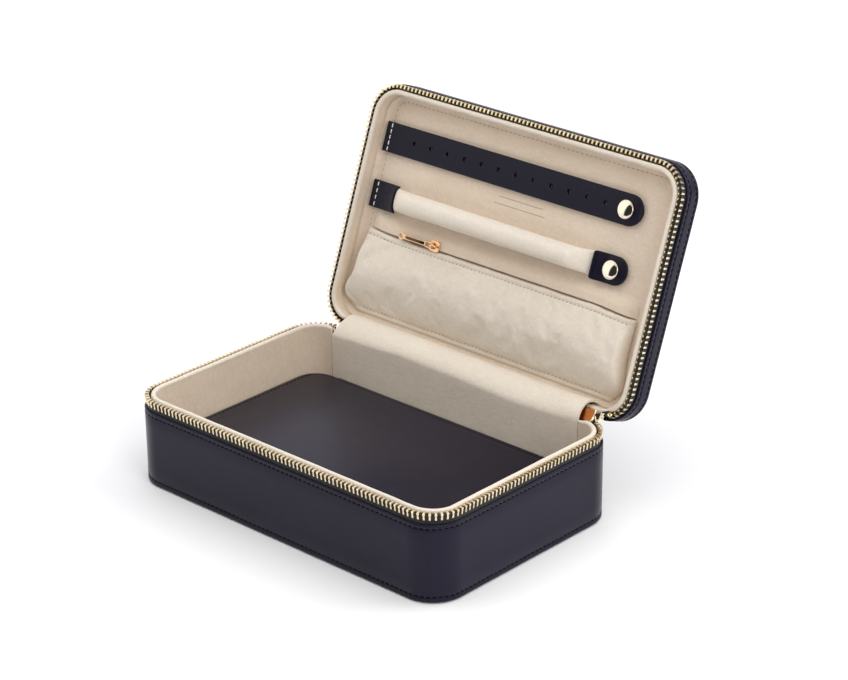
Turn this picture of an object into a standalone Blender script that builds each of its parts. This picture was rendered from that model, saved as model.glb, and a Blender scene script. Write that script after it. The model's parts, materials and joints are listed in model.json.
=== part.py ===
"""Zip-round leather jewellery case, standing open.

Metres, +Z up. The origin is the centre of the underside, +X runs along the hinge and -Y is the front.
Everything is written where it stands with the lid shut.
The lid's empty then opens the lid and all it carries.
"""

import math

import bpy
from mathutils import Euler, Matrix, Vector
from mathutils.geometry import interpolate_bezier

# Footprint shared by both halves.
WIDTH = 0.2100
DEPTH = 0.1335
CORNER_RADIUS = 0.0180
ARC_STEPS = 6
GAP = 0.0003

# Skins of leather on the underside and the top stop this far short of the walls' own edges.
WALL_EDGE = 0.0005

# Layers of the side walls, as insets from the footprint: outer face, then inner face.
LEATHER = (0.0, 0.0013)
TAPE = (0.0016, 0.0023)
TEETH = (0.0016, 0.0031)
BOARD = (0.0026, 0.0044)
LINING = (0.0047, 0.0059)
PIPING_INSET = 0.0047
PIPING_RADIUS = 0.0013
INSIDE = LINING[1] + GAP
LEATHER_THICKNESS = LEATHER[1] - LEATHER[0]

# Heights with the lid shut.
BASE_LEATHER_TOP = 0.0413
BASE_RIM_TOP = 0.0476
SEAM_HEIGHT = 0.0479
LID_LEATHER_LOW = 0.0532
SHUT_HEIGHT = 0.0636
BOTTOM_BOARD = 0.0020
TEETH_LENGTH = 0.0036
TAPE_LENGTH = 0.0080

# The wall layers stop here on the back, where the spine and the gusset take over.
WALL_END = 0.0840
PIPING_END = 0.0902
TEETH_END = 0.0905

# Lid hinge.
HINGE_Y = 0.0674
HINGE_Z = 0.0452
OPEN_DEGREES = 110.8
SPINE_HALF = 0.0730
SPINE_BASE = (0.0240, 0.0420)
SPINE_LID = (0.0500, 0.0605)
SPINE_RISE = (0.0024, 0.0016)
SPINE_STEPS = 7
GUSSET_HALF = 0.0835
GUSSET_NOTCH = 0.0045
GUSSET_BASE_TOP = 0.0450
GUSSET_RISE = (0.0065, 0.0065)
GUSSET_STEPS = 10
SPINE_THICKNESS = 0.0010
GUSSET_THICKNESS = 0.0012

# Jewellery compartment: a hinged cover over a divided lower tray.
COVER_TOP = 0.0205
COVER_LEATHER = 0.0010
COVER_BOARD = 0.0018
COVER_BACKING = 0.0009
COVER_INSET = 0.0070
COVER_BACK = 0.0589
COVER_CORNER = 0.0160
COVER_BOARD_SHORT = 0.0008
COVER_BACKING_SHORT = 0.0004
COVER_HINGE_HALF = 0.0800
COVER_HINGE_LOW = 0.0085
COVER_HINGE_THICKNESS = 0.0009
TRAY_FLOOR = 0.0012
TRAY_WALL = 0.0030
TRAY_CLEARANCE = 0.0015
DIVIDER = 0.0024
DIVIDER_X = 0.0330

# Padded panel inside the lid.
PANEL_FACE = 0.0578
PANEL_BACK = 0.0599

# Earring strap and ring roll, both hinged by their stitched left end.
STRAP_LEFT = -0.0969
STRAP_NEAR = 0.0551
STRAP_THICKNESS = 0.0018
STRAP_Y = -0.0379
STRAP_WIDTH = 0.0162
STRAP_RIGHT = 0.0785
HOLE_COUNT = 12
HOLE_FIRST_X = -0.0755
HOLE_PITCH = 0.01185
HOLE_RADIUS = 0.0009
ROLL_Y = -0.0065
ROLL_RADIUS = 0.0060
ROLL_LEFT = -0.0800
ROLL_RIGHT = 0.0580
ROLL_TAB_WIDTH = 0.0148
ROLL_TAB_RIGHT = 0.0780

# Press studs.
SNAP_X = 0.0680
CAP_RADIUS = 0.00525
CAP_HEIGHT = 0.0024
SOCKET_RADIUS = 0.0024
SOCKET_DEPTH = 0.0013
POST_RADIUS = 0.0020
POST_HOLE = 0.0026
POST_FLANGE = 0.0040
POST_FLANGE_THICKNESS = 0.0003
POST_CLEARANCE = 0.0004
POST_HEAD = 0.0008
POST_NECK = 0.85
TURN_STEPS = 24

# Zip pouch on the lid panel.
POUCH_LEFT = -0.0925
POUCH_RIGHT = 0.0935
POUCH_FRONT = 0.0149
POUCH_BACK = 0.0563
POUCH_NEAR = 0.0479
POUCH_SOFTNESS = 0.0036
POUCH_ZIP_Y = 0.0108
POUCH_TAPE_HALF = 0.0880
POUCH_TAPE_HALF_WIDTH = 0.0038
POUCH_TAPE_THICKNESS = 0.0007
POUCH_CHAIN_HALF = 0.0840
POUCH_CHAIN_HALF_WIDTH = 0.0018
POUCH_CHAIN_THICKNESS = 0.0011

# The pouch's slider: a plate with two side rails, and a bridge that holds the pull.
POUCH_SLIDER_X = -0.0440
POUCH_SLIDER_HALF = 0.0038
POUCH_SLIDER_PLATE = 0.0016
POUCH_RAIL_HALF = 0.0035
POUCH_RAIL_WIDTH = 0.0010
POUCH_BRIDGE_RISE = 0.0026
POUCH_BRIDGE_BAR = 0.0007
POUCH_BRIDGE_HALF = 0.0027
POUCH_POST_X = (0.0016, 0.0026)
POUCH_PULL_LENGTH = 0.0240
POUCH_PULL_AXIS = 0.0052
POUCH_PULL_HALF_WIDTH = 0.0022
POUCH_EYE_RADIUS = 0.0011
PULL_THICKNESS = 0.0010

# Solids that a union joins overlap by this much.
OVERLAP = 0.0005

# Main zip slider, parked where the two rows meet at the right of the hinge.
# It leans back with the soft end of the zip.
SLIDER_LEFT = 0.0808
SLIDER_RIGHT = 0.0898
SLIDER_INNER_Y = 0.0638
SLIDER_OUTER_Y = 0.0682
SLIDER_MIDDLE_Z = 0.0468
SLIDER_WIDTH = 0.0070
SLIDER_LEAN = 45.0
SLIDER_PLATE = 0.0008
SLIDER_ARCH = 0.0028
SLIDER_ARCH_BAR = 0.0007
SLIDER_POST_Z = (0.0016, 0.0026)
WEDGE_LENGTH = (0.0032, 0.0004)
WEDGE_SHORT = 0.0018
TAIL_START = 0.0600
TAIL_END = 0.0820
TAIL_Y = 0.0660
TAIL_WIDTH = 0.0052
TAIL_THICKNESS = 0.0012
PULL_X = 0.0856
PULL_LENGTH = 0.0235
PULL_HALF_WIDTH = 0.0031
PULL_AXIS_OUT = 0.0011

NAVY = (0.012, 0.013, 0.024)
CREAM = (0.72, 0.62, 0.49)
GOLD = (0.83, 0.66, 0.38)
GREYBOARD = (0.36, 0.32, 0.26)
BLACK = (0.010, 0.010, 0.012)


def clear_scene():
    for obj in list(bpy.data.objects):
        bpy.data.objects.remove(obj, do_unlink=True)


def new_collection(name, hidden=False):
    made = bpy.data.collections.new(name)
    bpy.context.scene.collection.children.link(made)
    made.hide_render = hidden
    return made


def new_material(name, colour, roughness, metallic=0.0):
    made = bpy.data.materials.new(name)
    made.use_nodes = True
    shader = made.node_tree.nodes["Principled BSDF"]
    shader.inputs["Base Color"].default_value = (*colour, 1.0)
    shader.inputs["Roughness"].default_value = roughness
    shader.inputs["Metallic"].default_value = metallic
    made.diffuse_color = (*colour, 1.0)
    return made


clear_scene()
PARTS = new_collection("jewellery_case")
CUTTERS = new_collection("cutters", hidden=True)
LEATHER_FINISH = new_material("navy_leather", NAVY, 0.32)
SUEDE_FINISH = new_material("cream_suede", CREAM, 0.92)
METAL_FINISH = new_material("gold_metal", GOLD, 0.22, 1.0)
BOARD_FINISH = new_material("greyboard", GREYBOARD, 0.85)
TAPE_FINISH = new_material("zip_tape", BLACK, 0.85)


# Outlines ---------------------------------------------------------------------------------------------------


def arc(centre_x, centre_y, radius, start, end, steps=ARC_STEPS):
    """Points along an arc, from start to end in degrees."""
    turns = [math.radians(start + (end - start) * i / steps) for i in range(steps + 1)]
    return [(centre_x + radius * math.cos(t), centre_y + radius * math.sin(t)) for t in turns]


def rounded_box(left, right, front, back, radius, steps=ARC_STEPS):
    return (
        arc(right - radius, back - radius, radius, 0, 90, steps)
        + arc(left + radius, back - radius, radius, 90, 180, steps)
        + arc(left + radius, front + radius, radius, 180, 270, steps)
        + arc(right - radius, front + radius, radius, 270, 360, steps)
    )


def footprint(inset):
    half_x = WIDTH / 2 - inset
    half_y = DEPTH / 2 - inset
    return rounded_box(-half_x, half_x, -half_y, half_y, CORNER_RADIUS - inset)


def front_run(inset, end_x):
    """An open line from the back at -end_x, round the left, front and right, to the back at +end_x."""
    radius = CORNER_RADIUS - inset
    corner_x = WIDTH / 2 - CORNER_RADIUS
    corner_y = DEPTH / 2 - CORNER_RADIUS
    past_corner = min(1.0, max(0.0, (end_x - corner_x) / radius))
    last = math.degrees(math.acos(past_corner))
    right = arc(corner_x, -corner_y, radius, -90, 0) + arc(corner_x, corner_y, radius, 0, last)
    if end_x < corner_x:
        right.append((end_x, corner_y + radius))
    return [(-x, y) for x, y in reversed(right)] + right


def circle(centre_x, centre_y, radius, steps=8):
    return arc(centre_x, centre_y, radius, 0, 360 - 360 / steps, steps - 1)


# Bodies -----------------------------------------------------------------------------------------------------


# Where each body's empty stands with the lid shut.
BODY_ORIGINS = {}


def new_body(name, origin, parent=None, turn=0.0):
    """An empty on the joint's axis. Its children keep the coordinates they have with the lid shut."""
    empty = bpy.data.objects.new(f"{name}_pivot", None)
    empty.empty_display_size = 0.01
    PARTS.objects.link(empty)
    empty.location = origin
    empty.rotation_euler = (turn, 0.0, 0.0)
    BODY_ORIGINS[empty.name] = Vector(origin)
    if parent:
        hang(empty, parent)
    return empty


def hang(obj, body):
    obj.parent = body
    obj.matrix_parent_inverse = Matrix.Translation(-BODY_ORIGINS[body.name])


def settle(obj, body, finish):
    if obj.name not in PARTS.objects:
        PARTS.objects.link(obj)
    obj.data.materials.clear()
    obj.data.materials.append(finish)
    if body:
        hang(obj, body)
    return obj


# Shapes -----------------------------------------------------------------------------------------------------


def slab(name, outlines, low, high, finish, body=None):
    """A flat piece between two heights. The first outline is its edge and the others are holes."""
    curve = bpy.data.curves.new(name, "CURVE")
    curve.dimensions = "2D"
    curve.fill_mode = "BOTH"
    curve.extrude = (high - low) / 2
    for outline in outlines:
        spline = curve.splines.new("POLY")
        spline.points.add(len(outline) - 1)
        for point, (x, y) in zip(spline.points, outline):
            point.co = (x, y, 0.0, 1.0)
        spline.use_cyclic_u = True
    obj = bpy.data.objects.new(name, curve)
    obj.location.z = (low + high) / 2
    return settle(obj, body, finish)


def ring(name, layer, low, high, finish, body=None):
    """A wall layer that goes all the way round."""
    return slab(name, [footprint(layer[0]), footprint(layer[1])], low, high, finish, body)


def band(name, layer, end_x, low, high, finish, body=None):
    """A wall layer that stops on the back at both sides of the hinge."""
    outline = front_run(layer[0], end_x) + front_run(layer[1], end_x)[::-1]
    return slab(name, [outline], low, high, finish, body)


def cord(name, points, radius, finish, body=None, resolution=2, widths=None):
    """A round piece along a line of points, with closed ends."""
    curve = bpy.data.curves.new(name, "CURVE")
    curve.dimensions = "3D"
    curve.bevel_depth = radius
    curve.bevel_resolution = resolution
    curve.use_fill_caps = True
    spline = curve.splines.new("POLY")
    spline.points.add(len(points) - 1)
    for index, (x, y, z) in enumerate(points):
        spline.points[index].co = (x, y, z, 1.0)
        spline.points[index].radius = widths[index] if widths else 1.0
    return settle(bpy.data.objects.new(name, curve), body, finish)


def block(name, low, high, finish, body=None):
    bpy.ops.mesh.primitive_cube_add(size=1.0)
    obj = bpy.context.object
    obj.name = name
    size = Vector(high) - Vector(low)
    obj.data.transform(Matrix.Diagonal((*size, 1.0)))
    obj.location = (Vector(low) + Vector(high)) / 2
    for owner in list(obj.users_collection):
        owner.objects.unlink(obj)
    return settle(obj, body, finish)


def join_blocks(name, boxes, finish, body):
    """One solid from overlapping blocks, each given by its low and high corner."""
    whole = block(name, *boxes[0], finish, body)
    for index, (low, high) in enumerate(boxes[1:]):
        extra = block(f"{name}_block_{index}", low, high, finish, body)
        PARTS.objects.unlink(extra)
        CUTTERS.objects.link(extra)
        extra.hide_render = True
        extra.display_type = "WIRE"
        joined = whole.modifiers.new(f"join_{index}", "BOOLEAN")
        joined.operation = "UNION"
        joined.object = extra
    return whole


def sheet(name, profile, half_widths, thickness, finish):
    """A flexible strip along the hinge: a YZ line, drawn out to each point's half width and thickened."""
    mesh = bpy.data.meshes.new(name)
    points = [(side * half, y, z) for side in (-1, 1) for half, (y, z) in zip(half_widths, profile)]
    count = len(profile)
    faces = [(i, i + 1, count + i + 1, count + i) for i in range(count - 1)]
    mesh.from_pydata(points, [], faces)
    obj = bpy.data.objects.new(name, mesh)
    solid = obj.modifiers.new("thickness", "SOLIDIFY")
    solid.thickness = thickness
    solid.offset = 0.0
    solid.use_even_offset = True
    return settle(obj, None, finish)


def turned(name, profile, x, y, z, finish, body):
    """A round piece about an upright axis, its profile hanging down from z as (radius, depth)."""
    mesh = bpy.data.meshes.new(name)
    points = [(radius, 0.0, depth) for radius, depth in profile]
    edges = [(i, i + 1) for i in range(len(profile) - 1)]
    mesh.from_pydata(points, edges, [])
    obj = bpy.data.objects.new(name, mesh)
    obj.location = (x, y, z)
    obj.rotation_euler = (math.pi, 0.0, 0.0)
    screw = obj.modifiers.new("turn", "SCREW")
    screw.steps = TURN_STEPS
    screw.render_steps = TURN_STEPS
    screw.use_merge_vertices = True
    screw.merge_threshold = 0.00001
    screw.use_smooth_shade = True
    return settle(obj, body, finish)


# Shell halves -----------------------------------------------------------------------------------------------


def rim_line(inset, end_x, height):
    return [(x, y, height) for x, y in front_run(inset, end_x)]


def base_shell():
    board_top = LEATHER_THICKNESS + GAP + BOTTOM_BOARD
    inside_floor = board_top + GAP
    ring("base_leather_wall", LEATHER, WALL_EDGE, BASE_LEATHER_TOP, LEATHER_FINISH)
    panel_edge = footprint(LEATHER[1] + GAP)
    slab("base_bottom_panel", [panel_edge], 0.0, LEATHER_THICKNESS, LEATHER_FINISH)
    slab("base_floor_board", [footprint(TAPE[0])], LEATHER_THICKNESS + GAP, board_top, BOARD_FINISH)
    ring("base_wall_board", BOARD, inside_floor, BASE_LEATHER_TOP - GAP, BOARD_FINISH)
    teeth_low = BASE_RIM_TOP - GAP - TEETH_LENGTH
    tape_top = teeth_low - GAP
    band("base_zip_tape", TAPE, TEETH_END, tape_top - TAPE_LENGTH, tape_top, TAPE_FINISH)
    band("base_zip_teeth", TEETH, TEETH_END, teeth_low, teeth_low + TEETH_LENGTH, METAL_FINISH)
    piping_z = BASE_RIM_TOP - PIPING_RADIUS
    lining_top = piping_z - PIPING_RADIUS - GAP
    band("base_wall_lining", LINING, WALL_END, inside_floor, lining_top, SUEDE_FINISH)
    cord("base_rim_piping", rim_line(PIPING_INSET, PIPING_END, piping_z), PIPING_RADIUS, SUEDE_FINISH)
    return inside_floor


def lid_shell(lid):
    panel_low = SHUT_HEIGHT - LEATHER_THICKNESS
    board_high = panel_low - GAP
    wall_high = SHUT_HEIGHT - WALL_EDGE
    ring("lid_leather_wall", LEATHER, LID_LEATHER_LOW, wall_high, LEATHER_FINISH, lid)
    panel_edge = footprint(LEATHER[1] + GAP)
    slab("lid_top_panel", [panel_edge], panel_low, SHUT_HEIGHT, LEATHER_FINISH, lid)
    slab("lid_top_board", [footprint(TAPE[0])], PANEL_BACK + GAP, board_high, BOARD_FINISH, lid)
    ring("lid_wall_board", BOARD, LID_LEATHER_LOW - 0.0010, PANEL_BACK, BOARD_FINISH, lid)
    teeth_low = SEAM_HEIGHT + 0.0001
    tape_low = teeth_low + TEETH_LENGTH + GAP
    band("lid_zip_tape", TAPE, TEETH_END, tape_low, PANEL_BACK - 0.0010, TAPE_FINISH, lid)
    band("lid_zip_teeth", TEETH, TEETH_END, teeth_low, teeth_low + TEETH_LENGTH, METAL_FINISH, lid)
    piping_z = SEAM_HEIGHT + PIPING_RADIUS
    lining_low = piping_z + PIPING_RADIUS + GAP
    band("lid_wall_lining", LINING, WALL_END, lining_low, PANEL_BACK, SUEDE_FINISH, lid)
    cord("lid_rim_piping", rim_line(PIPING_INSET, PIPING_END, piping_z), PIPING_RADIUS, SUEDE_FINISH, lid)
    slab("lid_inner_panel", [footprint(INSIDE)], PANEL_FACE, PANEL_BACK, SUEDE_FINISH, lid)


# Hinge ------------------------------------------------------------------------------------------------------


def opened(y, z):
    """Where a point of the shut lid stands once the lid is open, in the YZ plane."""
    pivot = Vector((0.0, HINGE_Y, HINGE_Z))
    turn = Euler((-math.radians(OPEN_DEGREES), 0.0, 0.0)).to_matrix()
    return (turn @ (Vector((0.0, y, z)) - pivot) + pivot).yz


def bridge(base_leg, lid_leg, rise, steps):
    """A line up the base's back, curving over the hinge and down onto the open lid's back wall.

    base_leg and lid_leg are (y, low, high) with the lid shut.
    rise is how far the curve leaves each end before it turns. The curve has steps + 1 points.
    """
    low = Vector((base_leg[0], base_leg[1]))
    start = Vector((base_leg[0], base_leg[2]))
    end = opened(lid_leg[0], lid_leg[1])
    far = opened(lid_leg[0], lid_leg[2])
    along_lid = (far - end).normalized()
    start_handle = start + Vector((0.0, rise[0]))
    end_handle = end - along_lid * rise[1]
    flat = [point.to_3d() for point in (start, start_handle, end_handle, end)]
    curve = interpolate_bezier(*flat, steps + 1)
    return [tuple(low)] + [tuple(point.xy) for point in curve] + [tuple(far)]


def hinge_strips(inside_floor):
    outside = DEPTH / 2 + GAP + SPINE_THICKNESS / 2
    spine = bridge((outside, *SPINE_BASE), (outside, *SPINE_LID), SPINE_RISE, SPINE_STEPS)
    sheet("hinge_spine", spine, [SPINE_HALF] * len(spine), SPINE_THICKNESS, LEATHER_FINISH)
    inner = DEPTH / 2 - (LINING[0] + LINING[1]) / 2
    base_leg = (inner, inside_floor, GUSSET_BASE_TOP)
    lid_leg = (inner, SEAM_HEIGHT, PANEL_FACE - GAP)
    gusset = bridge(base_leg, lid_leg, GUSSET_RISE, GUSSET_STEPS)
    turns = [math.pi * i / GUSSET_STEPS for i in range(GUSSET_STEPS)]
    notch = [GUSSET_NOTCH * math.sqrt(math.sin(turn)) for turn in turns]
    half_widths = [GUSSET_HALF] + [GUSSET_HALF - depth for depth in notch] + [GUSSET_HALF] * 2
    sheet("hinge_gusset", gusset, half_widths, GUSSET_THICKNESS, SUEDE_FINISH)


# Compartment ------------------------------------------------------------------------------------------------


def lower_tray(inside_floor):
    floor_top = inside_floor + TRAY_FLOOR
    wall_low = floor_top + GAP
    wall_top = COVER_TOP - COVER_LEATHER - COVER_BOARD - COVER_BACKING - 3 * GAP
    slab("tray_floor", [footprint(INSIDE)], inside_floor, floor_top, SUEDE_FINISH)
    outer = footprint(INSIDE + TRAY_CLEARANCE)
    inner = footprint(INSIDE + TRAY_CLEARANCE + TRAY_WALL)
    slab("tray_frame", [outer, inner], wall_low, wall_top, SUEDE_FINISH)
    inner_half_y = DEPTH / 2 - INSIDE - TRAY_CLEARANCE - TRAY_WALL - GAP
    for side, x in (("left", -DIVIDER_X), ("right", DIVIDER_X)):
        low = (x - DIVIDER / 2, -inner_half_y, wall_low)
        high = (x + DIVIDER / 2, inner_half_y, wall_top)
        block(f"tray_divider_{side}", low, high, SUEDE_FINISH)


def cover(body):
    """The flap that hides the lower tray: leather over a board, with a suede backing."""
    half_x = WIDTH / 2 - COVER_INSET
    front = -(DEPTH / 2 - COVER_INSET)

    def outline(inset):
        side = half_x - inset
        corner = COVER_CORNER - inset
        return rounded_box(-side, side, front + inset, COVER_BACK - inset, corner)

    leather_low = COVER_TOP - COVER_LEATHER
    board_low = leather_low - GAP - COVER_BOARD
    backing_low = board_low - GAP - COVER_BACKING
    slab("cover_leather", [outline(0.0)], leather_low, COVER_TOP, LEATHER_FINISH, body)
    board_high = board_low + COVER_BOARD
    slab("cover_board", [outline(COVER_BOARD_SHORT)], board_low, board_high, BOARD_FINISH, body)
    backing_high = backing_low + COVER_BACKING
    backing_edge = outline(COVER_BACKING_SHORT)
    slab("cover_backing", [backing_edge], backing_low, backing_high, SUEDE_FINISH, body)

    wall_y = DEPTH / 2 - LINING[1] - GAP
    half = COVER_HINGE_HALF
    lip = ((-half, COVER_BACK + GAP, leather_low), (half, wall_y, COVER_TOP))
    leg_y = wall_y - COVER_HINGE_THICKNESS
    leg = ((-half, leg_y, COVER_HINGE_LOW), (half, wall_y, (leather_low + COVER_TOP) / 2))
    join_blocks("cover_hinge_strip", [lip, leg], LEATHER_FINISH, None)


# Earring strap and ring roll --------------------------------------------------------------------------------


def snap_cap(name, x, y, body):
    """A domed cap with a socket in its back. It faces down from the shut lid."""
    shares = ((0.0, 1.0), (0.45, 0.95), (0.78, 0.72), (0.96, 0.36), (1.0, 0.0))
    dome = [(CAP_RADIUS * across, CAP_HEIGHT * up) for across, up in shares]
    socket = [(SOCKET_RADIUS, 0.0), (SOCKET_RADIUS, SOCKET_DEPTH), (0.0, SOCKET_DEPTH)]
    turned(name, dome + socket, x, y, STRAP_NEAR - GAP, METAL_FINISH, body)


def snap_stud(name, x, y, body):
    """The post on the lid panel that the socket clicks over."""
    foot = PANEL_FACE - GAP
    reach = foot - (STRAP_NEAR - GAP - SOCKET_DEPTH) - POST_CLEARANCE
    neck = POST_RADIUS * POST_NECK
    profile = [
        (0.0, reach),
        (POST_RADIUS, reach),
        (neck, reach - POST_HEAD),
        (neck, POST_FLANGE_THICKNESS),
        (POST_FLANGE, POST_FLANGE_THICKNESS),
        (POST_FLANGE, 0.0),
        (0.0, 0.0),
    ]
    turned(name, profile, x, y, foot, METAL_FINISH, body)


def strap_outline(left, right, y, width, end_radius):
    half = width / 2
    near = arc(right - end_radius, y - half + end_radius, end_radius, -90, 0)
    far = arc(right - end_radius, y + half - end_radius, end_radius, 0, 90)
    return [(left, y - half)] + near + far + [(left, y + half)]


def earring_strap(lid, body):
    end_radius = STRAP_WIDTH / 2 - 0.0001
    outline = strap_outline(STRAP_LEFT + GAP, STRAP_RIGHT, STRAP_Y, STRAP_WIDTH, end_radius)
    middles = [HOLE_FIRST_X + i * HOLE_PITCH for i in range(HOLE_COUNT)]
    holes = [circle(x, STRAP_Y, HOLE_RADIUS, 6) for x in middles]
    post_hole = circle(SNAP_X, STRAP_Y, POST_HOLE, 12)
    strap_back = STRAP_NEAR + STRAP_THICKNESS
    slab("earring_strap", [outline, *holes, post_hole], STRAP_NEAR, strap_back, LEATHER_FINISH, body)
    snap_cap("strap_snap_cap", SNAP_X, STRAP_Y, body)
    snap_stud("strap_snap_stud", SNAP_X, STRAP_Y, lid)


def ring_roll(lid, body):
    strap_back = STRAP_NEAR + STRAP_THICKNESS
    left_tab = strap_outline(STRAP_LEFT + GAP, ROLL_LEFT - GAP, ROLL_Y, ROLL_TAB_WIDTH, 0.0020)
    slab("roll_left_tab", [left_tab], STRAP_NEAR, strap_back, LEATHER_FINISH, body)
    middle = PANEL_FACE - GAP - ROLL_RADIUS
    line = [(ROLL_LEFT, 0.80), (ROLL_LEFT + 0.004, 1.0), (ROLL_RIGHT - 0.004, 1.0), (ROLL_RIGHT, 0.80)]
    points = [(x, ROLL_Y, middle) for x, _ in line]
    cord("ring_roll", points, ROLL_RADIUS, SUEDE_FINISH, body, 4, [width for _, width in line])
    right_tab = strap_outline(ROLL_RIGHT + GAP, ROLL_TAB_RIGHT, ROLL_Y, ROLL_TAB_WIDTH, 0.0066)
    post_hole = circle(SNAP_X, ROLL_Y, POST_HOLE, 12)
    slab("roll_right_tab", [right_tab, post_hole], STRAP_NEAR, strap_back, LEATHER_FINISH, body)
    snap_cap("roll_snap_cap", SNAP_X, ROLL_Y, body)
    snap_stud("roll_snap_stud", SNAP_X, ROLL_Y, lid)


# Pouch ------------------------------------------------------------------------------------------------------


def pouch(lid):
    low = (POUCH_LEFT, POUCH_FRONT, POUCH_NEAR)
    high = (POUCH_RIGHT, POUCH_BACK, PANEL_FACE - GAP)
    body = block("pouch", low, high, SUEDE_FINISH, lid)
    soft = body.modifiers.new("soft_edges", "BEVEL")
    soft.width = POUCH_SOFTNESS
    soft.segments = 3


def pouch_zip(lid, slider_body, pull_body):
    """The pouch's zip lies along its top edge. Heights count down from the lid panel."""
    tape_back = PANEL_FACE - GAP
    tape_face = tape_back - POUCH_TAPE_THICKNESS
    chain_back = tape_face - GAP
    chain_face = chain_back - POUCH_CHAIN_THICKNESS
    near = POUCH_ZIP_Y - POUCH_TAPE_HALF_WIDTH
    far = POUCH_ZIP_Y + POUCH_TAPE_HALF_WIDTH - GAP
    tape = rounded_box(-POUCH_TAPE_HALF, POUCH_TAPE_HALF, near, far, 0.0010, 2)
    slab("pouch_zip_tape", [tape], tape_face, tape_back, TAPE_FINISH, lid)
    near = POUCH_ZIP_Y - POUCH_CHAIN_HALF_WIDTH
    far = POUCH_ZIP_Y + POUCH_CHAIN_HALF_WIDTH
    chain = rounded_box(-POUCH_CHAIN_HALF, POUCH_CHAIN_HALF, near, far, 0.0010, 2)
    slab("pouch_zip_teeth", [chain], chain_face, chain_back, METAL_FINISH, lid)
    pouch_zip_slider(chain_face, chain_back, slider_body)
    pouch_zip_pull(pull_body)


def pouch_zip_slider(chain_face, chain_back, body):
    x, y = POUCH_SLIDER_X, POUCH_ZIP_Y
    plate_high = chain_face - GAP
    plate_low = plate_high - POUCH_SLIDER_PLATE
    bridge_low = plate_low - POUCH_BRIDGE_RISE
    inner = POUCH_CHAIN_HALF_WIDTH + GAP
    outer = inner + POUCH_RAIL_WIDTH
    plate = (
        (x - POUCH_SLIDER_HALF, y - outer, plate_low),
        (x + POUCH_SLIDER_HALF, y + outer, plate_high),
    )
    boxes = [plate]
    for side in (-1, 1):
        near, far = sorted((y + side * (inner + 0.00001), y + side * (outer - 0.00005)))
        rail = (
            (x - POUCH_RAIL_HALF, near, plate_high - OVERLAP),
            (x + POUCH_RAIL_HALF, far, chain_back),
        )
        left, right = sorted(x + side * edge for edge in POUCH_POST_X)
        post = (
            (left, y - 0.0008, bridge_low + 0.0002),
            (right, y + 0.0008, plate_low + OVERLAP),
        )
        boxes += [rail, post]
    bar = (
        (x - POUCH_BRIDGE_HALF, y - 0.0009, bridge_low),
        (x + POUCH_BRIDGE_HALF, y + 0.0009, bridge_low + POUCH_BRIDGE_BAR),
    )
    join_blocks("pouch_zip_slider", boxes + [bar], METAL_FINISH, body)


def pouch_zip_pull(body):
    """A slender loop along the chain, with a window round the bridge and an eye at its far end."""
    y = POUCH_ZIP_Y
    half = POUCH_PULL_HALF_WIDTH
    near_end = POUCH_SLIDER_X + 0.0005
    far_end = POUCH_SLIDER_X - POUCH_PULL_LENGTH
    edge = rounded_box(far_end, near_end, y - half, y + half, 0.0004, 2)
    eye_x = far_end + 0.0020
    window = rounded_box(eye_x + 0.0028, near_end - 0.0010, y - 0.0012, y + 0.0012, 0.0004, 2)
    eye = circle(eye_x, y, POUCH_EYE_RADIUS, 10)
    middle = BODY_ORIGINS[body.name].z
    low, high = middle - PULL_THICKNESS / 2, middle + PULL_THICKNESS / 2
    slab("pouch_zip_pull", [edge, window, eye], low, high, METAL_FINISH, body)


# Main zip slider --------------------------------------------------------------------------------------------


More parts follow.
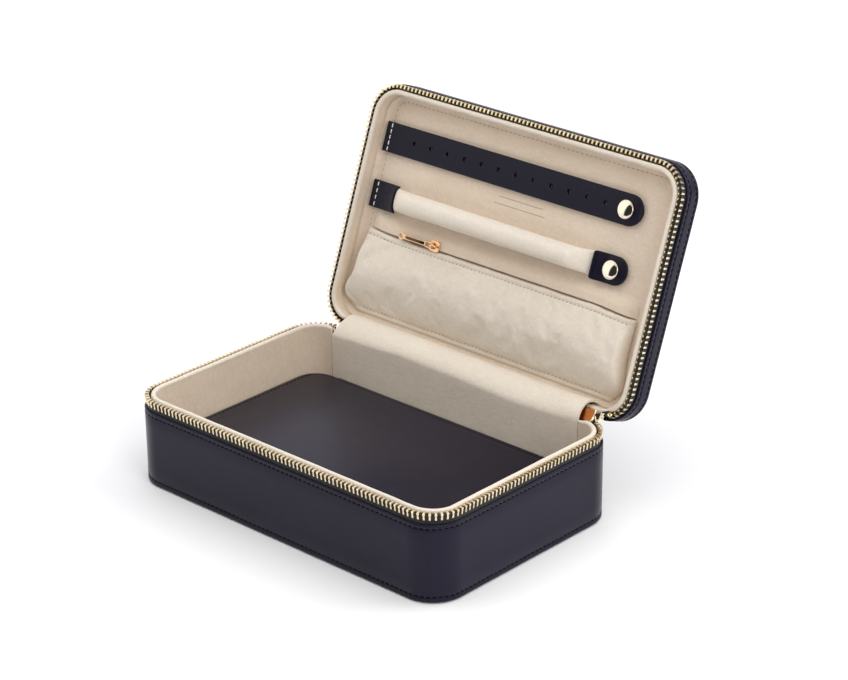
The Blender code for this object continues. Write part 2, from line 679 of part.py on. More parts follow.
def main_zip_end(tail_guide, slider_body, pull_body):
    """The closed end of the chain behind the hinge, the slider parked on it, and its hanging pull."""
    tail_low = (TAIL_START, TAIL_Y - TAIL_THICKNESS / 2, SLIDER_MIDDLE_Z - TAIL_WIDTH / 2)
    tail_high = (TAIL_END, TAIL_Y + TAIL_THICKNESS / 2, SLIDER_MIDDLE_Z + TAIL_WIDTH / 2)
    block("main_zip_tail", tail_low, tail_high, METAL_FINISH, tail_guide)

    low_z = SLIDER_MIDDLE_Z - SLIDER_WIDTH / 2
    high_z = SLIDER_MIDDLE_Z + SLIDER_WIDTH / 2
    inner_plate = (
        (SLIDER_LEFT, SLIDER_INNER_Y, low_z),
        (SLIDER_RIGHT, SLIDER_INNER_Y + SLIDER_PLATE, high_z),
    )
    outer_plate = (
        (SLIDER_LEFT, SLIDER_OUTER_Y - SLIDER_PLATE, low_z),
        (SLIDER_RIGHT, SLIDER_OUTER_Y, high_z),
    )
    wedge = (
        (SLIDER_RIGHT - WEDGE_LENGTH[0], SLIDER_INNER_Y + SLIDER_PLATE / 2, low_z + WEDGE_SHORT),
        (SLIDER_RIGHT - WEDGE_LENGTH[1], SLIDER_OUTER_Y - SLIDER_PLATE / 2, high_z - WEDGE_SHORT),
    )
    arch_y = SLIDER_OUTER_Y + SLIDER_ARCH
    bar = (
        (PULL_X - 0.0009, arch_y - SLIDER_ARCH_BAR, SLIDER_MIDDLE_Z - 0.0027),
        (PULL_X + 0.0009, arch_y, SLIDER_MIDDLE_Z + 0.0027),
    )
    boxes = [inner_plate, outer_plate, wedge, bar]
    for side in (-1, 1):
        near, far = sorted(SLIDER_MIDDLE_Z + side * edge for edge in SLIDER_POST_Z)
        post = (
            (PULL_X - 0.0008, SLIDER_OUTER_Y - OVERLAP, near),
            (PULL_X + 0.0008, arch_y - 0.0002, far),
        )
        boxes.append(post)
    join_blocks("main_zip_slider", boxes, METAL_FINISH, slider_body)

    outer_edge = rounded_box(-PULL_HALF_WIDTH, PULL_HALF_WIDTH, -PULL_LENGTH, 0.0006, 0.0006, 2)
    window = rounded_box(-0.0018, 0.0018, -0.0058, -0.0006, 0.0004, 2)
    half = PULL_THICKNESS / 2
    pull = slab("main_zip_pull", [outer_edge, window], -half, half, METAL_FINISH)
    pull.location = BODY_ORIGINS[pull_body.name]
    pull.rotation_euler = (math.pi / 2, 0.0, 0.0)
    hang(pull, pull_body)


def build():
    inside_floor = base_shell()
    lid = new_body("lid", (0.0, HINGE_Y, HINGE_Z), turn=-math.radians(OPEN_DEGREES))
    lid_shell(lid)
    hinge_strips(inside_floor)
    lower_tray(inside_floor)
    cover(new_body("cover", (0.0, COVER_BACK + GAP / 2, COVER_TOP)))
    strap_middle = STRAP_NEAR + STRAP_THICKNESS / 2
    earring_strap(lid, new_body("earring_strap", (STRAP_LEFT, STRAP_Y, strap_middle), lid))
    ring_roll(lid, new_body("ring_roll", (STRAP_LEFT, ROLL_Y, strap_middle), lid))
    pouch(lid)
    slider = new_body("pouch_slider", (POUCH_SLIDER_X, POUCH_ZIP_Y, PANEL_FACE), lid)
    pull_axis = (POUCH_SLIDER_X, POUCH_ZIP_Y, PANEL_FACE - POUCH_PULL_AXIS)
    pouch_zip(lid, slider, new_body("pouch_pull", pull_axis, slider))
    lean = math.radians(SLIDER_LEAN)
    tail_guide = new_body("zip_tail", (TAIL_START, HINGE_Y, HINGE_Z), turn=-lean)
    main_slider = new_body("main_slider", (PULL_X, HINGE_Y, HINGE_Z), turn=-lean)
    pull_axis = (PULL_X, SLIDER_OUTER_Y + PULL_AXIS_OUT, SLIDER_MIDDLE_Z)
    main_zip_end(tail_guide, main_slider, new_body("main_pull", pull_axis, main_slider, lean))


build()
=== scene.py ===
"""Looks of the leather jewellery case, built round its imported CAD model.

Metres, in the CAD's own frame. Pieces are written where they stand with the lid shut, and the lid's turn
opens them. Inside the shut lid, a surface that faces the user when it is open faces -Z. An inset is a
distance inwards from the outer footprint, and a box is the lowest and the highest corner of a CAD node.
"""

import json
import math

import bmesh
import bpy
import numpy as np
from mathutils import Matrix, Vector, noise
from mathutils.bvhtree import BVHTree


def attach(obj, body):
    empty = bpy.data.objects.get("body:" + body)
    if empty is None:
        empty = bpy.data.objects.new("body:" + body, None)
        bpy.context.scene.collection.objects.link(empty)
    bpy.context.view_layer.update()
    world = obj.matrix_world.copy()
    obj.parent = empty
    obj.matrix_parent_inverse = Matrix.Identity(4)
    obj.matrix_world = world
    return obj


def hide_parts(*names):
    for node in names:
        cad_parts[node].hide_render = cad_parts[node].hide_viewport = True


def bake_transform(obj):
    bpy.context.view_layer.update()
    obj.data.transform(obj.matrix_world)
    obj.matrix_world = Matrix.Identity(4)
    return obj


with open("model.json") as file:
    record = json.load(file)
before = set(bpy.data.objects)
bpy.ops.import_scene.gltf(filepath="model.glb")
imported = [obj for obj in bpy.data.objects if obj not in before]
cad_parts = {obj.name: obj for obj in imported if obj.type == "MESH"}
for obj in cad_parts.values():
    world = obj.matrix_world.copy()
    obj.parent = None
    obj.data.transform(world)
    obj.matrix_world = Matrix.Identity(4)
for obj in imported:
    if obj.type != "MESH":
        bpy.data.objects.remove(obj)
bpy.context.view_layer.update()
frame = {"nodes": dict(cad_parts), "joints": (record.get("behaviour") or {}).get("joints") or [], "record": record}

MM = 0.001
TINY = 0.01 * MM
RANDOM = np.random.default_rng(7)


def mm(*values):
    """Numbers or points in millimetres, as an array in metres."""
    return np.array(values, float) * MM


# Turns of the bodies

JOINTS = {joint["name"]: joint for joint in frame["joints"]}
HINGE = Vector(JOINTS["lid_hinge"]["pos_m"])
OPEN_ANGLE = math.radians(JOINTS["lid_hinge"]["range_deg"][0])
SLIDER_LEAN = math.radians(45)


def about_hinge(angle):
    return Matrix.Translation(HINGE) @ Matrix.Rotation(angle, 4, "X") @ Matrix.Translation(-HINGE)


OPEN = about_hinge(OPEN_ANGLE)
LEAN = about_hinge(-SLIDER_LEAN)
BODY_TURN = {body: OPEN for body in ("lid", "strap", "roll", "pouch_slider", "pouch_pull")}
BODY_TURN["main_slider"] = LEAN
BODY_OF = {node: body for body, nodes in frame["record"]["behaviour"]["bodies"].items() for node in nodes}
UPRIGHT = Matrix.Rotation(math.pi / 2, 4, "X")


def turn_of(body):
    return BODY_TURN.get(body, Matrix.Identity(4))


def points_of(vertices):
    return np.array([vertex.co for vertex in vertices])


def shut_box(node, turn=None):
    """Lowest and highest corner of a CAD node, with the lid shut."""
    back = (turn or turn_of(BODY_OF[node])).inverted()
    corners = np.array([back @ vertex.co for vertex in frame["nodes"][node].data.vertices])
    return Vector(corners.min(axis=0)), Vector(corners.max(axis=0))


def shut_boxes(*nodes):
    return [shut_box(node) for node in nodes]


def settled(box, x, y):
    """A box moved by up to 1.9 mm in the lid's plane, to where the photo shows its part."""
    return tuple(corner + Vector((x * MM, y * MM, 0)) for corner in box)


def middle_and_half(box):
    low, high = np.array(box)
    return (low + high) / 2, (high - low) / 2


# Sizes from the frame

BASE_WALL, LID_WALL = shut_boxes("base_leather_wall", "lid_leather_wall")
BASE_TEETH, LID_TEETH = shut_boxes("base_zip_teeth", "lid_zip_teeth")
BASE_TAPE, LID_TAPE = shut_boxes("base_zip_tape", "lid_zip_tape")
BASE_LINING, LID_LINING = shut_boxes("base_wall_lining", "lid_wall_lining")
BASE_PIPING, LID_PIPING = shut_boxes("base_rim_piping", "lid_rim_piping")
BOTTOM, TOP = shut_boxes("base_bottom_panel", "lid_top_panel")
LID_PANEL, COVER, ROLL, POUCH = shut_boxes("lid_inner_panel", "cover_leather", "ring_roll", "pouch")
POUCH_TAPE, POUCH_CHAIN = shut_boxes("pouch_zip_tape", "pouch_zip_teeth")
POUCH_SLIDER, POUCH_PULL = shut_boxes("pouch_zip_slider", "pouch_zip_pull")
MAIN_SLIDER, MAIN_PULL = shut_boxes("main_zip_slider", "main_zip_pull")
MAIN_TAIL = shut_box("main_zip_tail", LEAN)
STRAP = settled(shut_box("earring_strap"), 0.9, 0.5)
STRAP_CAP = settled(shut_box("strap_snap_cap"), 1.8, 0.6)
LEFT_TAB = settled(shut_box("roll_left_tab"), 0.8, 0.3)
RIGHT_TAB = settled(shut_box("roll_right_tab"), 0.7, 0.3)
ROLL_CAP = settled(shut_box("roll_snap_cap"), 1.7, 0.4)

HALF_WIDTH = BASE_WALL[1].x
HALF_DEPTH = BASE_WALL[1].y
CORNER_RADIUS = 18 * MM
CORNER_X = HALF_WIDTH - CORNER_RADIUS
CORNER_Y = HALF_DEPTH - CORNER_RADIUS
LEATHER_THICKNESS = 1.3 * MM
STRAP_EDGE_ROUNDING = 0.45 * MM
TEETH_INSET = 1.75 * MM
TEETH_LEAN = math.radians(7)
TOOTH_PITCH = 2.68 * MM
PIPING_INSET = 4.7 * MM
PIPING_RADIUS = (BASE_PIPING[1].z - BASE_PIPING[0].z) / 2
LINING_INSETS = (4.7 * MM, 5.9 * MM)

# Where the runs round the footprint end on the back, as distances from the middle

LINING_LEFT_END = 87.0 * MM
LINING_RIGHT_END = 84.0 * MM
PIPING_LEFT_END = 87.2 * MM
PIPING_RIGHT_END = 84.4 * MM
LID_PIPING_RIGHT_END = 79.6 * MM
TEETH_LEFT_END = 88.0 * MM
TEETH_END = 90.5 * MM
MOUTH_RIGID = 98.6 * MM

# Materials

FINISHES = {}


def add(tree, kind, inputs=None, **settings):
    """A shader node. An input that is a socket is linked, and any other is set."""
    made = tree.nodes.new("ShaderNode" + kind)
    for key, value in settings.items():
        setattr(made, key, value)
    for key, value in (inputs or {}).items():
        if isinstance(value, bpy.types.NodeSocket):
            tree.links.new(value, made.inputs[key])
        else:
            made.inputs[key].default_value = value
    return made


def blend_colours(tree, amount, first, second):
    mixed = add(tree, "Mix", data_type="RGBA")
    tree.links.new(amount, mixed.inputs["Factor"])
    for socket, colour in (("A", first), ("B", second)):
        target = [s for s in mixed.inputs if s.name == socket and s.type == "RGBA"][0]
        if isinstance(colour, bpy.types.NodeSocket):
            tree.links.new(colour, target)
        else:
            target.default_value = (*colour, 1.0)
    return [s for s in mixed.outputs if s.type == "RGBA"][0]


def ranged(tree, value, low, high, to_low=0.0, to_high=1.0):
    inputs = {"Value": value, "From Min": low, "From Max": high, "To Min": to_low, "To Max": to_high}
    return add(tree, "MapRange", inputs).outputs["Result"]


def noise_of(tree, where, scale, detail=2.0, roughness=0.5, stretch=None):
    if stretch:
        where = add(tree, "Mapping", {"Vector": where, "Scale": stretch}).outputs["Vector"]
    inputs = {"Vector": where, "Scale": scale, "Detail": detail, "Roughness": roughness}
    return add(tree, "TexNoise", inputs).outputs["Fac"]


def reckoned(tree, operation, first, second):
    return add(tree, "Math", {0: first, 1: second}, operation=operation).outputs["Value"]


def summed(tree, first, second, weight):
    """first + weight * second"""
    return reckoned(tree, "ADD", first, reckoned(tree, "MULTIPLY", second, weight))


def dotted(tree, vector, direction):
    return add(tree, "VectorMath", {0: vector, 1: direction}, operation="DOT_PRODUCT").outputs["Value"]


def new_finish(name):
    """A new material's tree, its shader and its object coordinates."""
    made = bpy.data.materials.new(name)
    made.use_nodes = True
    FINISHES[name] = made
    tree = made.node_tree
    return tree, tree.nodes["Principled BSDF"], add(tree, "TexCoord").outputs["Object"]


def connect(tree, shader, **sockets):
    for key, value in sockets.items():
        target = shader.inputs[key.replace("_", " ")]
        if isinstance(value, bpy.types.NodeSocket):
            tree.links.new(value, target)
        else:
            target.default_value = value


def bump(tree, height, distance, strength=1.0):
    inputs = {"Height": height, "Distance": distance, "Strength": strength}
    return add(tree, "Bump", inputs).outputs["Normal"]


def leather_finish(name, dark, light, rough, grain, relief, shine, polished_towards=None):
    """Smooth box calf: fine pebbled cells that vary in tone and polish. It can shine more to one side."""
    tree, shader, where = new_finish(name)
    inputs = {"Vector": where, "Scale": grain}
    cells = add(tree, "TexVoronoi", inputs, feature="SMOOTH_F1").outputs["Distance"]
    fine = noise_of(tree, where, grain * 1.7, 3.0, 0.6)
    broad = noise_of(tree, where, 28.0, 4.0, 0.55)
    tone = blend_colours(tree, ranged(tree, broad, 0.3, 0.7), dark, light)
    pale = tuple(1.5 * part for part in light)
    tone = blend_colours(tree, ranged(tree, fine, 0.45, 0.8, 0.0, 0.6), tone, pale)
    height = summed(tree, cells, fine, 0.45)
    polish = ranged(tree, summed(tree, broad, fine, 0.3), 0.35, 0.95, *rough)
    connect(tree, shader, Base_Color=tone, Roughness=polish, Normal=bump(tree, height, relief))
    if polished_towards:
        along = dotted(tree, where, polished_towards)
        shine = ranged(tree, along, -0.03, 0.10, 0.5 * shine, 2.1 * shine)
    connect(tree, shader, Specular_IOR_Level=shine, Coat_Weight=0.05, Coat_Roughness=0.16)


def suede_finish(name, colour, shade):
    """Ultrasuede: a short nap that lies in soft patches, with a faint sheen."""
    tree, shader, where = new_finish(name)
    fibres = noise_of(tree, where, 2600.0, 4.0, 0.7)
    clumps = noise_of(tree, where, 520.0, 4.0, 0.65)
    brushed = noise_of(tree, where, 42.0, 3.0, 0.55, (1.0, 1.0, 1.8))
    lying = noise_of(tree, where, 190.0, 3.0, 0.6, (1.0, 2.2, 1.0))
    mottle = summed(tree, summed(tree, brushed, lying, 0.8), clumps, 1.5)
    tone = blend_colours(tree, ranged(tree, mottle, 1.25, 2.05), shade, colour)
    fleck = tuple(0.80 * part for part in shade)
    flecked = blend_colours(tree, ranged(tree, fibres, 0.25, 0.58, 0.6, 0.0), tone, fleck)
    nap = bump(tree, summed(tree, fibres, clumps, 1.8), 0.15 * MM, 0.9)
    connect(tree, shader, Base_Color=flecked, Roughness=0.95, Normal=nap, Specular_IOR_Level=0.15)
    connect(tree, shader, Sheen_Weight=0.22, Sheen_Roughness=0.45, Sheen_Tint=(1.0, 0.94, 0.85, 1.0))


def metal_finish(name, colour, deep, rough):
    """Gold plate with hairline polish marks and cloudy darker patches, and painted shade in its hollows."""
    tree, shader, where = new_finish(name)
    streaks = noise_of(tree, where, 900.0, 3.0, 0.6, (1.0, 1.0, 0.25))
    clouds = noise_of(tree, where, 160.0, 2.0, 0.5)
    # Painted shade: concave spots, where pointiness is low, are blended towards the deep colour.
    hollow_shade = ranged(tree, add(tree, "NewGeometry").outputs["Pointiness"], 0.38, 0.5, 1.0, 0.0)
    tone = blend_colours(tree, hollow_shade, colour, deep)
    tone = blend_colours(tree, ranged(tree, clouds, 0.35, 0.75, 0.0, 0.35), tone, deep)
    connect(tree, shader, Base_Color=tone, Metallic=1.0, Normal=bump(tree, streaks, 0.01 * MM, 0.25))
    connect(tree, shader, Roughness=ranged(tree, streaks, 0.3, 0.7, *rough))


def woven_finish(name, colour, light, thread, relief):
    """Plain weave: two sets of fine ribs that cross."""
    tree, shader, where = new_finish(name)
    inputs = {"Vector": where, "Scale": thread, "Distortion": 0.4, "Detail": 1.0}
    ribs = [add(tree, "TexWave", inputs, bands_direction=direction).outputs["Fac"] for direction in "XZ"]
    weave = reckoned(tree, "MULTIPLY", *ribs)
    fuzz = noise_of(tree, where, 1800.0, 3.0, 0.65)
    tone = blend_colours(tree, summed(tree, weave, fuzz, 0.4), colour, light)
    connect(tree, shader, Base_Color=tone, Roughness=0.88, Normal=bump(tree, weave, relief, 0.7))
    connect(tree, shader, Sheen_Weight=0.15)


def thread_finish(name, colour, light, shine=0.5):
    """Twisted sewing thread."""
    tree, shader, where = new_finish(name)
    inputs = {"Vector": where, "Scale": 900.0, "Distortion": 1.0}
    twist = add(tree, "TexWave", inputs, bands_direction="DIAGONAL").outputs["Fac"]
    fuzz = noise_of(tree, where, 2400.0, 2.0)
    tone = blend_colours(tree, summed(tree, twist, fuzz, 0.5), colour, light)
    connect(tree, shader, Base_Color=tone, Roughness=0.7, Normal=bump(tree, twist, 0.06 * MM, 0.8))
    connect(tree, shader, Sheen_Weight=0.06 * shine, Specular_IOR_Level=shine)


def board_finish(name):
    """Pressed greyboard with flecks of pulp."""
    tree, shader, where = new_finish(name)
    pulp = noise_of(tree, where, 700.0, 5.0, 0.7)
    flecks = ranged(tree, noise_of(tree, where, 1500.0, 2.0), 0.62, 0.7)
    tone = blend_colours(tree, pulp, (0.27, 0.24, 0.2), (0.42, 0.38, 0.32))
    tone = blend_colours(tree, flecks, tone, (0.16, 0.13, 0.1))
    connect(tree, shader, Base_Color=tone, Roughness=0.9, Normal=bump(tree, pulp, 0.1 * MM, 0.6))


def make_finishes():
    leather_finish("wall_leather", dark=(0.0070, 0.0053, 0.0160), light=(0.0101, 0.0078, 0.0220),
                   rough=(0.26, 0.40), grain=1500.0, relief=0.026 * MM, shine=0.16)
    leather_finish("cover_leather", dark=(0.0058, 0.0046, 0.0135), light=(0.0088, 0.0072, 0.0188),
                   rough=(0.30, 0.44), grain=1700.0, relief=0.015 * MM, shine=0.27,
                   polished_towards=(-0.75, 0.66, 0.0))
    leather_finish("strap_leather", dark=(0.0060, 0.0053, 0.0145), light=(0.0090, 0.0082, 0.0200),
                   rough=(0.34, 0.50), grain=1900.0, relief=0.026 * MM, shine=0.175)
    for name, colour, shade in (
        ("cream_suede", (0.85, 0.720, 0.580), (0.75, 0.625, 0.495)),
        ("pouch_suede", (0.86, 0.780, 0.670), (0.77, 0.690, 0.580)),
        # A paler copy of the pouch's suede for the ring roll: painted light for the roll's brighter lighting.
        ("lit_roll_suede", (0.91, 0.835, 0.725), (0.84, 0.760, 0.650)),
    ):
        suede_finish(name, colour, shade)
    for name, colour, deep, rough in (
        ("pale_gold", (0.88, 0.76, 0.52), (0.36, 0.26, 0.12), (0.10, 0.22)),
        ("snap_gold", (0.95, 0.88, 0.74), (0.70, 0.58, 0.40), (0.03, 0.06)),
        ("rose_gold", (0.90, 0.60, 0.36), (0.50, 0.26, 0.12), (0.12, 0.24)),
        # A much darker copy of the orange gold: painted shade on the main slider's plates.
        ("shaded_slider_gold", (0.40, 0.13, 0.030), (0.24, 0.07, 0.015), (0.20, 0.32)),
        ("smoked_gold", (0.10, 0.07, 0.05), (0.03, 0.02, 0.015), (0.10, 0.20)),
    ):
        metal_finish(name, colour, deep, rough)
    woven_finish("tape_weave", (0.006, 0.006, 0.007), (0.022, 0.021, 0.023), 420.0, 0.12 * MM)
    # Near black and almost without shine, darker than the navy leather: the thread's own dark navy, deepened as
    # painted shade of its stitch grooves.
    thread_finish("shaded_navy_thread", (0.001, 0.001, 0.002), (0.004, 0.004, 0.006), 0.06)
    # Brown, far darker than the cream suede it sews: the thread is darkened as painted shade of its stitch holes.
    thread_finish("shaded_cream_thread", (0.30, 0.23, 0.16), (0.46, 0.37, 0.28))
    thread_finish("white_thread", (0.74, 0.70, 0.62), (0.92, 0.89, 0.82))
    board_finish("greyboard")


# Mesh tools


def grid_faces(rows, columns, around=False, along=False):
    """Quads over rows x columns points. around joins the last column to the first, along the last row."""
    i, j = np.meshgrid(
        np.arange(rows if along else rows - 1), np.arange(columns if around else columns - 1), indexing="ij"
    )
    i, j = i.ravel(), j.ravel()
    up, right = (i + 1) % rows, (j + 1) % columns
    corners = [i * columns + j, i * columns + right, up * columns + right, up * columns + j]
    return np.stack(corners, axis=1).tolist()


def sheet(points):
    """An open sheet over a grid of points."""
    return points.reshape(-1, 3), grid_faces(*points.shape[:2])


def loft(rings, along=False, caps=True):
    """(points, faces) of a skin over closed rings of equally many points. Open runs get flat caps."""
    rings = np.asarray(rings, float)
    rows, columns = rings.shape[:2]
    faces = grid_faces(rows, columns, True, along)
    if caps and not along:
        faces.append(list(range(columns))[::-1])
        faces.append([(rows - 1) * columns + j for j in range(columns)])
    return rings.reshape(-1, 3), faces


def merged(parts):
    points, faces, start = [], [], 0
    for part_points, part_faces in parts:
        points.append(np.asarray(part_points, float))
        faces.extend([[start + index for index in face] for face in part_faces])
        start += len(part_points)
    return np.concatenate(points), faces


def moved(part, matrix):
    """A part with its points under a matrix."""
    points, faces = part
    array = np.array(matrix)
    return np.asarray(points) @ array[:3, :3].T + array[:3, 3], faces


def mesh_of(name, part, weld=False):
    points, faces = part
    mesh = bpy.data.meshes.new(name)
    mesh.from_pydata(np.asarray(points).tolist(), [], faces)
    work = bmesh.new()
    work.from_mesh(mesh)
    if weld:
        bmesh.ops.remove_doubles(work, verts=work.verts, dist=0.002 * MM)
        bmesh.ops.dissolve_degenerate(work, edges=work.edges, dist=0.001 * MM)
    bmesh.ops.recalc_face_normals(work, faces=work.faces)
    work.to_mesh(mesh)
    work.free()
    return mesh


def placed_points(mesh, points):
    mesh.vertices.foreach_set("co", points.astype(np.float32).ravel())


def linked(name, data):
    obj = bpy.data.objects.new(name, data)
    bpy.context.scene.collection.objects.link(obj)
    return obj


def evaluated_mesh(obj):
    """A copy of an object's mesh with its modifiers applied."""
    graph = bpy.context.evaluated_depsgraph_get()
    return bpy.data.meshes.new_from_object(obj.evaluated_get(graph), depsgraph=graph)


def smooth(mesh, sharp):
    mesh.shade_smooth()
    mesh.set_sharp_from_angle(angle=math.radians(sharp))


def piece(name, part, finish, body=None, stands_for=(), sharp=50.0, weld=False, turn=None):
    """A visible piece, placed with its body's turn. With no body it stays free."""
    mesh = part if isinstance(part, bpy.types.Mesh) else mesh_of(name, part, weld)
    mesh.name = name
    smooth(mesh, sharp)
    mesh.materials.clear()
    mesh.materials.append(FINISHES[finish])
    obj = linked(name, mesh)
    obj.matrix_world = turn or turn_of(body)
    if body:
        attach(obj, body)
    if stands_for:
        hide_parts(*stands_for)
    return obj


def filled_plate(outline, thickness, rounding, place=(0, 0, 0), turn=Matrix.Identity(4), holes=()):
    """A flat plate with rounded edges and with holes."""
    curve = bpy.data.curves.new("plate", "CURVE")
    curve.dimensions = "2D"
    curve.fill_mode = "BOTH"
    curve.extrude = thickness / 2 - rounding
    curve.bevel_depth = rounding
    curve.bevel_resolution = 2
    curve.offset = -rounding
    for line in (outline, *holes):
        spline = curve.splines.new("POLY")
        spline.points.add(len(line) - 1)
        for point, (x, y) in zip(spline.points, line):
            point.co = (x, y, 0.0, 1.0)
        spline.use_cyclic_u = True
    obj = linked("plate", curve)
    mesh = evaluated_mesh(obj)
    bpy.data.objects.remove(obj)
    part = points_of(mesh.vertices), [list(polygon.vertices) for polygon in mesh.polygons]
    bpy.data.meshes.remove(mesh)
    return moved(part, Matrix.Translation(place) @ turn)


def arc(x, y, radius, start, end, steps):
    turns = np.radians(np.linspace(start, end, steps + 1))
    return list(zip(x + radius * np.cos(turns), y + radius * np.sin(turns)))


def rounded_box(left, right, front, back, radius, steps=5):
    """A rectangle's outline with round corners, from the right side's back end round to its front end."""
    loop = []
    for start, x, y in ((0, right - radius, back - radius), (90, left + radius, back - radius),
                        (180, left + radius, front + radius), (270, right - radius, front + radius)):
        loop += arc(x, y, radius, start, start + 90, steps)
    return loop


def centred_box(x, y, half_x, half_y, radius, steps=5):
    return rounded_box(x - half_x, x + half_x, y - half_y, y + half_y, radius, steps)


def mirrored(half, scale_x=MM, scale_y=MM):
    """A whole outline from its half with y above 0, scaled."""
    return [(x * scale_x, y * scale_y) for x, y in half + [(x, -y) for x, y in half[::-1]]]


def circle(x, y, radius, steps=20):
    return arc(x, y, radius, 0, 360 - 360 / steps, steps - 1)


def revolved(profile, steps=40):
    """A turned solid about +Z from (radius, height) points. It starts and ends on the axis."""
    turns = np.linspace(0, 2 * math.pi, steps, endpoint=False)
    return loft([[(r * math.cos(t), r * math.sin(t), h) for t in turns] for r, h in profile])


def unit(vectors):
    return vectors / np.linalg.norm(vectors, axis=-1, keepdims=True)


def tube(points, radii, normals, steps=12, flatten=1.0):
    """A cord along points, its section scaled by flatten along the normals."""
    points = np.asarray(points, float)
    normals = np.broadcast_to(np.asarray(normals, float), points.shape)
    sides = unit(np.cross(unit(np.gradient(points, axis=0)), normals))
    turns = np.linspace(0, 2 * math.pi, steps, endpoint=False)
    radii = np.broadcast_to(radii, len(points))[:, None, None]
    ring = sides[:, None, :] * np.cos(turns)[None, :, None]
    ring = ring + normals[:, None, :] * np.sin(turns)[None, :, None] * flatten
    return loft(points[:, None, :] + ring * radii)


def smoothstep(value, low, high):
    t = np.clip((np.asarray(value, float) - low) / (high - low), 0.0, 1.0)
    return t * t * (3 - 2 * t)


def fillet(distance, radius):
    """A quarter-round rise from 0 to 1."""
    t = np.clip(distance / radius, 0, 1)
    return np.sqrt(np.clip(1 - (1 - t) ** 2, 0, 1))


def ripple(points, scale, seed):
    """Smooth noise between -1 and 1 at each point, with features about scale across."""
    shift = Vector((seed * 3.1, seed * 1.7, seed * 5.3))
    return np.array([noise.noise(Vector(point) / scale + shift) for point in np.asarray(points)])


def waver(*at):
    """Smooth noise between -1 and 1 at one spot."""
    return noise.noise(Vector(at))


def densely(line, spacing):
    """A polyline with points added so that none are further apart than spacing."""
    line = np.asarray(line, float)
    result = [line[0]]
    for start, end in zip(line[:-1], line[1:]):
        count = max(1, math.ceil(np.linalg.norm(end - start) / spacing))
        result += [start + (end - start) * k / count for k in range(1, count + 1)]
    return np.array(result)


# Path round the footprint


def path_length_to(end_x, inset):
    """Length from the middle of the front round to x = end_x on the back."""
    radius = CORNER_RADIUS - inset
    quarter = radius * math.pi / 2
    before = CORNER_X + quarter + 2 * CORNER_Y
    if end_x >= CORNER_X:
        return before + radius * math.acos(min(1.0, (end_x - CORNER_X) / radius))
    return before + quarter + CORNER_X - end_x


def on_path(lengths, inset):
    """(corner centres, outward normals) at signed lengths from the middle of the front, + to the right."""
    radius = CORNER_RADIUS - inset
    quarter = radius * math.pi / 2
    away = np.abs(lengths)
    side = np.sign(lengths) + (np.asarray(lengths) == 0)
    turn = np.clip((away - CORNER_X) / radius, 0, math.pi / 2)
    turn = turn + np.clip((away - CORNER_X - quarter - 2 * CORNER_Y) / radius, 0, math.pi / 2)
    x = np.minimum(away, CORNER_X)
    x = x - np.maximum(away - (CORNER_X + 2 * quarter + 2 * CORNER_Y), 0)
    y = -CORNER_Y + np.clip(away - CORNER_X - quarter, 0, 2 * CORNER_Y)
    centres = np.stack([side * x, y], axis=1)
    normals = np.stack([side * np.sin(turn), -np.cos(turn)], axis=1)
    return centres, normals


def run_lengths(left_end, right_end, inset, spacing):
    """Even lengths from the left end on the back, round the front, to the right end. None closes the run."""
    if left_end is None:
        whole = path_length_to(0.0, inset)
        return np.linspace(-whole, whole, round(2 * whole / spacing), endpoint=False)
    low, high = -path_length_to(left_end, inset), path_length_to(right_end, inset)
    return np.linspace(low, high, round((high - low) / spacing) + 1)


def along_path(lengths, inset, height, ref_inset=None):
    """(points, outward normals) at one inset and height. The lengths are measured at ref_inset."""
    centres, normals = on_path(lengths, inset if ref_inset is None else ref_inset)
    flat = centres + normals * (CORNER_RADIUS - inset)
    zeros = np.zeros(len(flat))
    return np.column_stack([flat, zeros + height]), np.column_stack([normals, zeros])


def swept(profile, left_end=None, right_end=None, ref_inset=0.0, spacing=1.6 * MM, wave=0.0, seed=1):
    """A profile of (inset, height) points carried round the footprint. wave ripples its insets."""
    lengths = run_lengths(left_end, right_end, ref_inset, spacing)
    centres, normals = on_path(lengths, ref_inset)
    profile = np.asarray(profile, float)
    reach = np.broadcast_to(CORNER_RADIUS - profile[:, 0], (len(lengths), len(profile))).copy()
    heights = np.broadcast_to(profile[:, 1], reach.shape)
    flat = centres[:, None, :] + normals[:, None, :] * reach[:, :, None]
    rings = np.concatenate([flat, heights[:, :, None]], axis=2)
    if wave:
        push = ripple(rings.reshape(-1, 3), 22 * MM, seed).reshape(reach.shape) * wave
        rings[:, :, :2] += normals[:, None, :] * push[:, :, None]
    return loft(rings, along=left_end is None)


# Stitching


